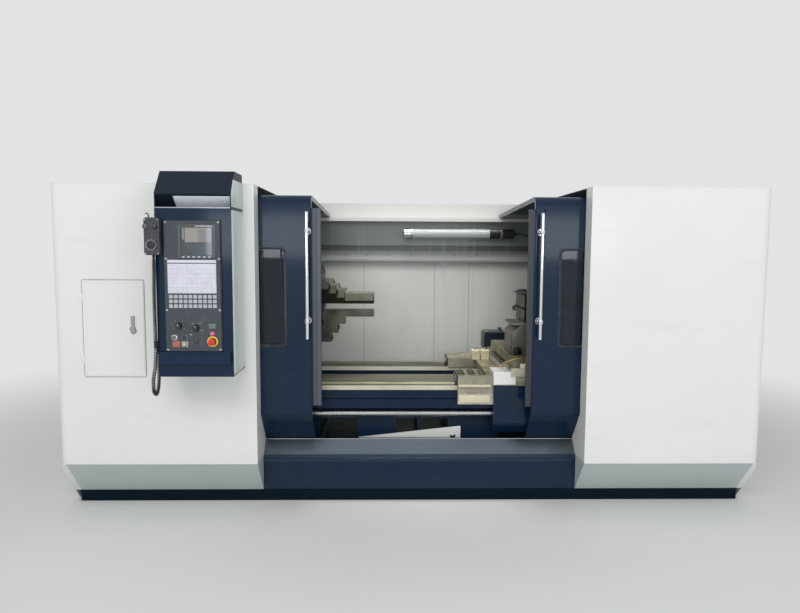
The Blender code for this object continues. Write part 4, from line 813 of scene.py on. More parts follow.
def moved(x=0.0, y=0.0, z=0.0):
    """One place, so far from where the model stands."""
    return Matrix.Translation((x, y, z))


def row(count, x=0.0, y=0.0, z=0.0):
    """Places in a row, one step apart."""
    return [moved(x * n, y * n, z * n) for n in range(count)]


def grid(x=(0,), y=(0,), z=(0,)):
    """Places at every mixture of the given steps."""
    return [moved(a, b, c) for a in x for b in y for c in z]


def spun(axis, centre, angles):
    """Turns about an axis through a point, by degrees."""
    middle = at(*centre)
    return [
        Matrix.Translation(middle)
        @ Matrix.Rotation(math.radians(angle), 4, axis)
        @ Matrix.Translation(-middle)
        for angle in angles
    ]


def joined(parts):
    """One object of several."""
    begin()
    for part in parts:
        part.select_set(True)
    bpy.context.view_layer.objects.active = parts[0]
    bpy.ops.object.transform_apply(location=True, rotation=True, scale=True)
    if len(parts) > 1:
        bpy.ops.object.join()
    return bpy.context.object


def repeat(model, places):
    """Copies of a model, one for each place, joined to one object."""
    made = []
    for place in places:
        copy = model.copy()
        copy.data = model.data.copy()
        bpy.context.collection.objects.link(copy)
        copy.matrix_world = place @ model.matrix_world
        made.append(copy)
    bpy.data.objects.remove(model)
    return joined(made)


def dress(made, finish):
    """Gives a part its finish."""
    made.data.materials.clear()
    made.data.materials.append(FINISH[finish])
    return made


def dressed(finish, *parts):
    """Several parts in one finish."""
    return [dress(part, finish) for part in parts]


def piece(name, parts, body, smooth=30):
    """A finished piece that rides with a body."""
    made = joined(parts)
    made.name = name
    made.data.name = name
    only(made)
    bpy.ops.object.shade_smooth_by_angle(angle=math.radians(smooth))
    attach(made, body)
    return made


def socket_screw(axis, place, side, radius, height):
    """A socket head screw that stands on a face."""
    made = rod(axis, place, side * height, radius, 20, radius * 0.12)
    return recess(made, facing(axis, side), radius * 0.45, height * 0.55)


def pan_screw(axis, place, side, radius):
    """A domed cover screw with a slot across it."""
    made = rod(axis, place, side * radius * 0.4, radius, 18, radius * 0.16)
    return recess(made, facing(axis, side), radius * 0.5, radius * 0.2)


# Stage and camera; the turns are the camera's yaw, pitch and roll in radians
CAMERA_PLACE = (-0.1713, -3.8974, 1.6347)
CAMERA_TURNS = (0.0212, -0.0915, 0.0053)
CAMERA_LENS = 29.25
SENSOR_WIDTH = 36


def seen_directly(tree):
    """1 for what the camera sees, also in metal and through glass."""
    ray = tree.nodes.new("ShaderNodeLightPath").outputs
    seen = ray["Is Camera Ray"]
    for kind in ("Is Glossy Ray", "Is Transmission Ray"):
        either = tree.nodes.new("ShaderNodeMath")
        either.operation = "MAXIMUM"
        tree.links.new(seen, either.inputs[0])
        tree.links.new(ray[kind], either.inputs[1])
        seen = either.outputs[0]
    return seen


def room_light(tone, strength, backdrop):
    """Even light from the room, and a pale backdrop where it is seen directly."""
    world = bpy.data.worlds.new("room")
    bpy.context.scene.world = world
    world.use_nodes = True
    tree = world.node_tree
    tree.nodes.clear()
    light = tree.nodes.new("ShaderNodeBackground")
    light.inputs["Color"].default_value = (*tone, 1)
    light.inputs["Strength"].default_value = strength
    back = tree.nodes.new("ShaderNodeBackground")
    back.inputs["Color"].default_value = (*backdrop, 1)
    mix = tree.nodes.new("ShaderNodeMixShader")
    out = tree.nodes.new("ShaderNodeOutputWorld")
    tree.links.new(seen_directly(tree), mix.inputs[0])
    tree.links.new(light.outputs[0], mix.inputs[1])
    tree.links.new(back.outputs[0], mix.inputs[2])
    tree.links.new(mix.outputs[0], out.inputs["Surface"])


def pale_floor(backdrop):
    """A matt floor that fades into the backdrop far from the machine."""
    ground = Finish("pale_floor", Roughness=0.75, Specular_IOR_Level=0.2)
    cloud = ground.noise(0.6, 3.0)
    ground.set(Base_Color=ground.blend(cloud, (0.72, 0.72, 0.72), (0.76, 0.76, 0.76)))
    x, y = ground.along("X"), ground.along("Y")
    far = ground.between(ground.maths("SQRT", x * x + y * y), 2.6, 6.5)
    far = far * Number(ground, seen_directly(ground.tree))
    glow = ground.node("ShaderNodeEmission", None, {"Color": backdrop})
    mix = ground.node("ShaderNodeMixShader", None, {0: far, 1: ground.shader.outputs[0], 2: glow})
    ground.feed(ground.tree.nodes["Material Output"].inputs["Surface"], mix)
    return ground.material


def lamp(name, place, target, size, power, tone=(1, 1, 1), spread=180, mirrored=True):
    """A rectangular soft light that looks at a target, with its spread in degrees."""
    begin()
    place, target = at(*place), at(*target)
    bpy.ops.object.light_add(type="AREA", location=place)
    made = bpy.context.object
    made.name = name
    made.data.shape = "RECTANGLE"
    made.data.size, made.data.size_y = size
    made.data.energy = power
    made.data.color = tone
    made.data.spread = math.radians(spread)
    made.visible_glossy = mirrored
    made.rotation_euler = (target - place).to_track_quat("-Z", "Y").to_euler()


class LATHE_OT_stage(bpy.types.Operator):
    """Sets up the floor, the lights and the camera."""

    bl_idname = "lathe.stage"
    bl_label = "Stage"

    def execute(self, context):
        begin()
        bpy.ops.mesh.primitive_plane_add(size=60, location=(0, 0, 0))
        floor = bpy.context.object
        floor.name = "floor"
        backdrop = (0.76, 0.77, 0.78)
        floor.data.materials.append(pale_floor(backdrop))
        room_light((0.84, 0.86, 0.90), 0.60, backdrop)
        lamp("key", (-1.6, -5.0, 5.2), (0, 0.2, 1.0), (4.5, 2.5), 168, (1.0, 0.99, 0.97), mirrored=False)
        lamp("fill", (3.6, -5.2, 3.2), (0.4, 0.3, 0.9), (3.0, 3.0), 55, (0.97, 0.98, 1.0), mirrored=False)
        lamp("inside", (0.2, 0.70, 4.0), (0.2, 1.15, 0.9), (1.7, 1.0), 10, (1.0, 0.99, 0.96), 45)
        lamp("strip", (0.35, -6.5, 1.80), (0.35, 0.13, 1.75), (6.4, 0.70), 70, (0.88, 0.92, 1.0))
        self.camera(context)
        return {"FINISHED"}

    def camera(self, context):
        """The photograph's camera, fitted to the corners of the two white housings."""
        yaw, pitch, roll = CAMERA_TURNS
        bpy.ops.object.camera_add()
        made = context.object
        made.name = "photo_camera"
        made.data.lens = CAMERA_LENS
        made.data.sensor_width = SENSOR_WIDTH
        level = math.cos(pitch)
        ahead = Vector((math.sin(yaw) * level, math.cos(yaw) * level, math.sin(pitch)))
        right = Vector((math.cos(yaw), -math.sin(yaw), 0))
        up = right.cross(ahead)
        across = math.cos(roll) * right + math.sin(roll) * up
        upward = math.cos(roll) * up - math.sin(roll) * right
        turn = Matrix((across, upward, -ahead)).transposed()
        made.matrix_world = Matrix.Translation(at(*CAMERA_PLACE)) @ turn.to_4x4()
        made.data.clip_end = 100
        context.scene.camera = made
        context.scene.view_settings.view_transform = "Standard"


# Pendant cord
CORD_WIRE = 0.0030
CORD_COIL = 0.0082
CORD_ROUTE = (
    (-1.4400, -0.3176, 1.5827),
    (-1.4405, -0.3176, 1.5000),
    (-1.4440, -0.3165, 1.3800),
    (-1.4450, -0.3140, 1.2000),
    (-1.4460, -0.3090, 1.0600),
    (-1.4540, -0.3040, 0.9650),
    (-1.4680, -0.2980, 0.8850),
    (-1.4700, -0.2840, 0.8170),
    (-1.4620, -0.2580, 0.8030),
    (-1.4570, -0.2430, 0.8700),
    (-1.4570, -0.2400, 0.9700),
    (-1.4570, -0.2400, 1.0597),
)


def smooth_route(points, per=40):
    """Points along a smooth line through the given ones, evenly spaced."""
    ends = [points[0] * 2 - points[1], *points, points[-1] * 2 - points[-2]]
    fine = []
    for a, b, c, d in zip(ends, ends[1:], ends[2:], ends[3:]):
        for step in range(per):
            t = step / per
            fine.append(
                0.5
                * (
                    2 * b
                    + (c - a) * t
                    + (2 * a - 5 * b + 4 * c - d) * t**2
                    + (3 * b - a - 3 * c + d) * t**3
                )
            )
    return fine + [points[-1]]


def coil(route, turns, radius, per_turn=14, lead_in=0.035):
    """A helix round a route that starts and ends on the route itself."""
    lengths = [0.0]
    for first, second in zip(route, route[1:]):
        lengths.append(lengths[-1] + (second - first).length)
    total = lengths[-1]
    count = turns * per_turn
    side = Vector((1, 0, 0))
    points = []
    index = 0
    for step in range(count + 1):
        reach = total * step / count
        while index < len(route) - 2 and lengths[index + 1] < reach:
            index += 1
        share = (reach - lengths[index]) / (lengths[index + 1] - lengths[index])
        middle = route[index].lerp(route[index + 1], share)
        ahead = (route[index + 1] - route[index]).normalized()
        side = (side - ahead * side.dot(ahead)).normalized()
        across = ahead.cross(side)
        grown = min(reach, total - reach) / lead_in
        grown = min(max(grown, 0.0), 1.0)
        grown = grown * grown * (3 - 2 * grown)
        turn = 2 * math.pi * step / per_turn
        points.append(
            middle + (side * math.cos(turn) + across * math.sin(turn)) * radius * grown
        )
    return points


class LATHE_OT_cord(bpy.types.Operator):
    """Makes the curled cord of the hand pendant and its two strain reliefs."""

    bl_idname = "lathe.cord"
    bl_label = "Pendant cord"

    def execute(self, context):
        turns = context.scene.lathe_sizes.cord_turns
        route = smooth_route([at(*point) for point in CORD_ROUTE])
        path = coil(route, turns, CORD_COIL)
        made = curve(
            "CURVE", dimensions="3D", bevel_depth=CORD_WIRE, bevel_resolution=1, use_fill_caps=True
        )
        line = made.data.splines.new("POLY")
        line.points.add(len(path) - 1)
        for point, place in zip(line.points, path):
            point.co = (*place, 1)
        made = dress(heal(meshed(made)), "cord")
        cord = piece("curled_cord", [made], "machine", 60)
        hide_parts("pendant_cord")
        for name, (x, y, z), side in (
            ("pendant_relief", CORD_ROUTE[0], -1),
            ("gland_relief", CORD_ROUTE[-1], -1),
        ):
            sleeve = [(0.0, 0.0), (0.0, 0.0088)]
            for rib in range(4):
                low = 0.004 + rib * 0.007
                wide = 0.0080 - rib * 0.0010
                sleeve += [(low, wide), (low + 0.004, wide), (low + 0.0045, wide - 0.0012)]
                sleeve += [(low + 0.0065, wide - 0.0012)]
            sleeve += [(0.034, 0.0034), (0.034, 0.0)]
            sleeve = [(along * side, radius) for along, radius in sleeve]
            boot = dress(turned("Z", (x, y, z), sleeve, 20), "rubber")
            piece(name, [boot], "machine", 40)
        length = sum((b - a).length for a, b in zip(path, path[1:]))
        return {"FINISHED"}


# Finishes of the CAD nodes
WORN_BY = {
    "white": (
        "left_front_panel left_side_panel left_top_panel right_front_panel right_side_panel "
        "right_top_panel right_back_panel service_hatch electrical_cabinet "
        "cabinet_door guard_plate screw_cover"
    ),
    "beam": "door_rail_beam",
    "skirt": "left_skirt right_skirt",
    "plinth": "base_plinth",
    "navy": "left_door right_door control_box apron_panel carriage_apron",
    "hood": "control_hood",
    "head": "headstock tailstock cross_motor",
    "wall": "rear_guard",
    "bed": "bed",
    "saddle": "saddle",
    "sill": "sill_tray",
    "slide": "cross_slide",
    "tower": "turret_base",
    "turret": "turret_head turning_tool",
    "chuck": "chuck",
    "jaw": "jaw_1 jaw_2 jaw_3",
    "steel": "ball_screw",
    "quill": "quill",
    "chrome": "left_handle right_handle tail_handwheel",
    "tongue": "left_seal",
    "painted_shade_tongue": "right_seal",
    "glass": "left_window right_window",
    "lamp": "lamp_tube",
    "screen": "screen",
    "panel": "operator_panel",
    "pendant": "pendant",
    "steel_grey": "hatch_latch",
    "pale": "keypad",
    "black": "selector_knob override_knob pendant_dial pendant_holder",
    "sage": "start_button",
    "red": "estop_button",
}


class LATHE_OT_finishes(bpy.types.Operator):
    """Makes the finishes and gives every carried-over piece its own."""

    bl_idname = "lathe.finishes"
    bl_label = "Finishes"

    def execute(self, context):
        FINISH.update(make_finishes())
        worn_and_shaded = set()
        for finish, names in WORN_BY.items():
            for name in names.split():
                node = bpy.data.objects[name]
                for place in node.material_slots:
                    place.material = FINISH[finish]
                worn_and_shaded.add(name)
        missing = set(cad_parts) - worn_and_shaded - {"pendant_cord"}
        if missing:
            raise RuntimeError(f"no finish for {sorted(missing)}")
        bpy.data.objects["pendant_cord"].material_slots[0].material = FINISH["cord"]
        return {"FINISHED"}


# Housings
class LATHE_OT_housings(bpy.types.Operator):
    """Adds the hatch's seal, fold, hinges and lock ring, cover screws, side vents and corner caps."""

    bl_idname = "lathe.housings"
    bl_label = "Housing fittings"

    def execute(self, context):
        size = context.scene.lathe_sizes
        self.hatch()
        self.screws(size.screw)
        self.vents(size.louvres)
        caps = [dress(self.corner(side), "white") for side in (-1, 1)]
        piece("corner_caps", caps, "machine", 40)
        return {"FINISHED"}

    def corner(self, side):
        """A curved cap between a panel's rounded corner and the slanted skirt below."""
        loop = []
        for radius, turns in ((0.0496, range(0, 91, 10)), (0.0450, range(90, -1, -10))):
            for turn in turns:
                a = math.radians(turn)
                loop.append((side * (2.108 + radius * math.cos(a)), 0.050 - radius * math.sin(a)))
        cap = plate("XY", 0.2350, 0.3029, loop)
        only(cap)
        bpy.ops.object.mode_set(mode="EDIT")
        bpy.ops.mesh.select_all(action="SELECT")
        bpy.ops.mesh.bisect(
            plane_co=at(0, 0.0012, 0.302), plane_no=(0, 0.78, 0.626), use_fill=True, clear_inner=True
        )
        bpy.ops.object.mode_set(mode="OBJECT")
        return heal(cap)

    def hatch(self):
        """The service hatch's seal, folded rim, hinges and lock ring."""
        outer = rounded(-1.9845, 0.8435, -1.6125, 1.4325, 0.012)
        inner = rounded(-1.9812, 0.8468, -1.6158, 1.4292, 0.007)
        seal = dress(plate("XZ", -0.0014, -0.0001, outer, inner), "joint")
        piece("hatch_seal", [seal], "machine")
        outer = rounded(-1.970, 0.852, -1.621, 1.424, 0.010)
        inner = rounded(-1.960, 0.862, -1.631, 1.414, 0.007)
        fold = dress(plate("XZ", -0.0048, -0.0030, outer, inner, edge=0.0006), "white")
        piece("hatch_fold", [fold], "service_hatch")
        knuckles = []
        for height in (0.93, 1.30):
            barrel = rod("Z", (-1.980, -0.0033, height), 0.05, 0.0048, 20, 0.0008)
            leaf = block((-2.008, -0.0022, height), (-1.982, -0.0002, height + 0.05), 0.0005)
            heads = repeat(pan_screw("Y", (-1.998, -0.0022, height + 0.012), -1, 0.0032), row(2, z=0.026))
            knuckles += dressed("white", barrel, leaf, heads)
        piece("hatch_hinges", knuckles, "machine")
        dish = [(0.0, 0.0185), (-0.0030, 0.0195), (-0.0042, 0.0225), (-0.0030, 0.0255), (0.0, 0.0265)]
        dish = hoop("Y", (-1.685, -0.0036, 1.13), dish, 40)
        piece("hatch_lock_ring", [dress(dish, "chrome")], "service_hatch")

    def screws(self, radius):
        """Rows of cover screws on the housings' outer sides."""
        heads = []
        rows = [(y, z) for y in (0.12, 0.66, 1.2, 1.74) for z in (1.02, 1.94)]
        rows += [(y, 0.10) for y in (0.30, 0.66, 1.2, 1.74)]
        for side in (-1, 1):
            places = [moved(side * OUTER_X, y, z) for y, z in rows]
            heads.append(repeat(pan_screw("X", (0, 0, 0), side, radius), places))
        piece("cover_screws", dressed("white", *heads), "machine")

    def vents(self, count):
        """Pressed louvres in the outer sides, and a hem along their lower edge."""
        parts = []
        for side in (-1, 1):
            fin = block((side * OUTER_X, 1.12, 0.42), (side * (OUTER_X + 0.0065), 1.46, 0.437))
            pick(fin, facing("X", side))
            bpy.ops.transform.resize(value=(1, 0.96, 0.35), center_override=at(0, 1.29, 0.424))
            bpy.ops.object.mode_set(mode="OBJECT")
            soften(fin, 0.0015)
            parts.append(repeat(fin, row(count, z=0.032)))
            hem = block((side * OUTER_X, 0.26, 0.006), (side * (OUTER_X + 0.0045), 1.78, 0.020), 0.0015)
            parts.append(hem)
        piece("side_vents", dressed("white", *parts), "machine")


# Doors
class LATHE_OT_doors(bpy.types.Operator):
    """Adds window gaskets, handle rosettes, collars and caps, folds and screws to both doors."""

    bl_idname = "lathe.doors"
    bl_label = "Door fittings"

    def execute(self, context):
        for side, left, grip, edge in (
            ("left", -1.4987, -0.656, -1.691),
            ("right", 0.9133, 0.782, 0.748),
        ):
            self.gasket(side, left)
            self.handle(side, grip)
            self.trims(side, edge)
        return {"FINISHED"}

    def gasket(self, side, left):
        """A flat surround and a rubber lip round one window."""
        outer = rounded(left - 0.010, 1.010, left + 0.7094, 1.630, 0.030)
        inner = rounded(left + 0.006, 1.026, left + 0.6934, 1.614, 0.018)
        surround = dress(plate("XZ", 0.1262, 0.1299, outer, inner, edge=0.0012), "gasket")
        line = [*rounded(left, 1.020, left + 0.6994, 1.620, 0.024), (left + 0.6754, 1.620)]
        lip = pipe([(x, 0.1262, z) for x, z in line], 0.0028, 8, poly=True)
        piece(f"{side}_gasket", [surround, dress(lip, "rubber")], f"{side}_door")

    def handle(self, side, grip):
        """A rosette and a collar at both ends of one handle, and its caps."""
        parts = []
        for height in (1.176, 1.728):
            rose = [(0.0, 0.0), (0.0, 0.0215), (-0.0045, 0.0215), (-0.0065, 0.0195)]
            rose += [(-0.0065, 0.0120), (-0.0050, 0.0112), (-0.0050, 0.0)]
            parts.append(dress(turned("Y", (grip, 0.1298, height), rose, 36), "chrome"))
            clasp = [(-0.013, 0.0098), (-0.013, 0.0150), (-0.011, 0.0165), (0.011, 0.0165)]
            clasp += [(0.013, 0.0150), (0.013, 0.0098)]
            parts.append(dress(hoop("Z", (grip, 0.075, height), clasp, 28), "chrome"))
            parts.append(dress(rod("Y", (grip, 0.0588, height), -0.0012, 0.0055, 6), "steel"))
        for height, side_z in ((1.0732, -1), (1.8358, 1)):
            cap = [(0.0, 0.0), (0.0, 0.0108), (0.0050, 0.0108), (0.0080, 0.0088), (0.0092, 0.0)]
            cap = [(along * side_z, radius) for along, radius in cap]
            parts.append(dress(turned("Z", (grip, 0.075, height), cap, 28), "chrome"))
        piece(f"{side}_handle_caps", parts, f"{side}_door", 40)

    def trims(self, side, edge):
        """Rounded folds down the door's edges, and a row of screws."""
        far = edge + 1.057
        ends = (edge + 0.004, far - 0.004)
        folds = [straight((x, 0.1292, 0.60), (x, 0.1292, 1.895), 0.0022) for x in ends]
        piece(f"{side}_door_folds", dressed("navy", *folds), f"{side}_door")
        inner = edge + (0.03 if side == "left" else 0.06)
        heads = repeat(pan_screw("Y", (inner, 0.1299, 0.70), -1, 0.0055), row(5, z=0.29))
        piece(f"{side}_door_screws", [dress(heads, "navy")], f"{side}_door")


# Sill
class LATHE_OT_sill(bpy.types.Operator):
    """Adds the sill's rolled hems, the apron's screws and the loose plate's bolts."""

    bl_idname = "lathe.sill"
    bl_label = "Sill fittings"

    def execute(self, context):
        hem = straight((OPENING_LEFT, 0.1828, 0.2772), (OPENING_RIGHT, 0.1828, 0.2772), 0.0034, 12)
        lip = straight((OPENING_LEFT, 0.2730, 0.3806), (OPENING_RIGHT, 0.2730, 0.3806), 0.0024)
        piece("sill_hem", [dress(hem, "navy"), dress(lip, "chrome")], "machine")
        bolts = repeat(
            socket_screw("Y", (-0.30, 0.3977, 0.315), -1, 0.0075, 0.0045),
            row(3, x=0.29, z=0.025),
        )
        piece("plate_bolts", [dress(bolts, "steel")], "machine")
        heads = repeat(pan_screw("Y", (-0.90, 0.1853, 0.240), -1, 0.0055), row(6, x=0.36))
        piece("apron_screws", [dress(heads, "navy")], "machine")
        return {"FINISHED"}


# Bed
class LATHE_OT_bed(bpy.types.Operator):
    """Adds the ball screw's thread, its bearing cover and the rims of the bed's windows."""

    bl_idname = "lathe.bed"
    bl_label = "Bed fittings"

    def execute(self, context):
        self.thread(context.scene.lathe_sizes.lead)
        self.bearing()
        self.rims()
        return {"FINISHED"}

    def thread(self, lead):
        """The ball screw's thread: one round rib wound along it."""
        made = curve("CURVE", dimensions="3D")
        line = made.data.splines.new("POLY")
        wide = lead * 0.16
        section = [(0.0194, -wide), (0.0212, -wide * 0.5), (0.0212, wide * 0.5), (0.0194, wide)]
        line.points.add(len(section) - 1)
        for point, (radius, along) in zip(line.points, section):
            point.co = (radius, 0, along, 1)
        made = meshed(made)
        turns = int(2.44 / lead)
        modify(made, "SCREW", axis="Z", steps=14, render_steps=14, screw_offset=lead, iterations=turns)
        made.rotation_euler = TURNS["X"]
        made.location = at(-0.69, BALL_SCREW_Y, BALL_SCREW_Z)
        made = heal(settle(made))
        piece("screw_thread", [dress(made, "steel")], "ball_screw", 50)

    def bearing(self):
        """A round cover at the ball screw's left bracket."""
        cover = [(0.0, 0.0205), (0.0, 0.036), (0.006, 0.036), (0.009, 0.033), (0.009, 0.0205)]
        cover = hoop("X", (-0.6895, BALL_SCREW_Y, BALL_SCREW_Z), cover, 32)
        piece("screw_bearings", [dress(cover, "steel")], "machine")

    def rims(self):
        """A cast rim round each window of the bed's front."""
        parts = []
        for left, right in ((-0.62, -0.368), (-0.104, 0.042), (0.066, 0.247), (0.60, 0.85)):
            outer = rounded(left - 0.010, 0.290, right + 0.010, 0.495, 0.020)
            inner = rounded(left, 0.300, right, 0.485, 0.012)
            parts.append(plate("XZ", 0.4047, 0.4099, outer, inner, edge=0.0012))
        piece("bed_rims", dressed("navy", *parts), "machine")


# Headstock and chuck
class LATHE_OT_headstock(bpy.types.Operator):
    """Adds the headstock's lid, nose flange, lifting eyes and oil glass."""

    bl_idname = "lathe.headstock"
    bl_label = "Headstock fittings"

    def execute(self, context):
        bolt = context.scene.lathe_sizes.bolt
        lid = block((-1.74, 0.46, 1.6002), (-0.87, 1.04, 1.612), 0.004)
        recess(lid, facing("Z"), 0.035, 0.003)
        places = grid(x=(0, 0.27, 0.54, 0.81), y=(0, 0.54))
        bolts = repeat(socket_screw("Z", (-1.71, 0.48, 1.612), 1, bolt * 0.7, 0.010), places)
        piece("head_lid", [dress(lid, "head"), dress(bolts, "steel")], "machine")
        flange = [(0.0, 0.10), (0.0, 0.215), (0.0070, 0.215), (0.0090, 0.213), (0.0090, 0.10)]
        flange = hoop("X", (-0.8148, SPINDLE_Y, SPINDLE_Z), flange, 64)
        piece("nose_flange", [dress(flange, "steel")], "machine")
        eyes = []
        for x in (-1.62, -0.99):
            collar = rod("Z", (x, 0.75, 1.609), 0.012, 0.020, 24, 0.002)
            eyes += [dress(collar, "black"), dress(ring("Y", (x, 0.75, 1.640), 0.020, 0.006), "black")]
        piece("lifting_eyes", eyes, "machine")
        rim = [(0.0, 0.020), (0.0, 0.030), (-0.006, 0.030), (-0.009, 0.027), (-0.009, 0.020)]
        rim = hoop("Y", (-0.90, 0.3599, 0.86), rim, 32)
        pane = rod("Y", (-0.90, 0.3598, 0.86), -0.004, 0.0205, 28)
        piece("oil_glass", [dress(rim, "brass"), dress(pane, "glass")], "machine")
        return {"FINISHED"}


class LATHE_OT_chuck(bpy.types.Operator):
    """Adds the chuck's turned rings, bolts and key sockets, and the jaws' screws and teeth."""

    bl_idname = "lathe.chuck"
    bl_label = "Chuck fittings"

    def execute(self, context):
        bolt = context.scene.lathe_sizes.bolt
        centre = (-0.624, SPINDLE_Y, SPINDLE_Z)
        bore = [(0.0, 0.052), (0.0, 0.074), (0.004, 0.074), (0.006, 0.071), (0.006, 0.054)]
        parts = [dress(hoop("X", centre, bore, 48), "chuck")]
        model = socket_screw("X", (-0.624, SPINDLE_Y, SPINDLE_Z + 0.155), 1, bolt, 0.007)
        parts.append(dress(repeat(model, spun("X", centre, (30, -30, 90, 150, -90, -150))), "turret"))
        model = socket_screw("X", (-0.624, SPINDLE_Y, SPINDLE_Z + 0.245), 1, bolt * 0.75, 0.004)
        angles = [turn + side for turn in (0, 120, 240) for side in (-28, 0, 28)]
        parts.append(dress(repeat(model, spun("X", centre, angles)), "turret"))
        key = [(0.0, 0.009), (0.0, 0.019), (0.0035, 0.019), (0.0045, 0.017), (0.0045, 0.009)]
        key = hoop("Z", (-0.712, SPINDLE_Y, SPINDLE_Z + 0.2845), key, 24)
        parts.append(dress(repeat(key, spun("X", centre, (0, 120, 240))), "jaw"))
        # Painted shade: a thin dark disc stands for the depth of each key socket
        hole = rod("Z", (-0.712, SPINDLE_Y, SPINDLE_Z + 0.2840), 0.0012, 0.0095, 16)
        parts.append(dress(repeat(hole, spun("X", centre, (0, 120, 240))), "hole_shade"))
        for along in (-0.690, -0.790):
            band = [(0.0, 0.2848), (0.0, 0.2866), (0.004, 0.2866), (0.004, 0.2848)]
            band = hoop("X", (along, SPINDLE_Y, SPINDLE_Z), band, 96)
            parts.append(dress(band, "chuck"))
        piece("chuck_fittings", parts, "chuck", 40)
        for number, turn in ((1, 0), (2, 120), (3, 240)):
            self.jaw(f"jaw_{number}", turn, centre, bolt)
        return {"FINISHED"}

    def jaw(self, body, turn, centre, bolt):
        """Screws in the steps of one jaw and grip teeth along its inner face."""
        y, z = SPINDLE_Y, SPINDLE_Z
        parts = []
        for along, down in ((-0.562, 0.250), (-0.515, 0.175)):
            parts.append(dress(socket_screw("X", (along, y, z - down), 1, bolt * 0.8, 0.006), "turret"))
        tooth = block((-0.452, y - 0.026, z - 0.0462), (-0.446, y + 0.026, z - 0.0440), 0.0008)
        teeth = repeat(tooth, row(15, x=0.0125))
        parts.append(dress(teeth, "jaw"))
        for across in (-0.0306, 0.0306):
            edge = straight((-0.2590, y + across, z - 0.0475), (-0.2590, y + across, z - 0.097), 0.0012)
            parts.append(dress(edge, "steel"))
        made = joined(parts)
        if turn:
            made = repeat(made, spun("X", centre, (-turn,)))
        piece(f"{body}_grip", [made], body)


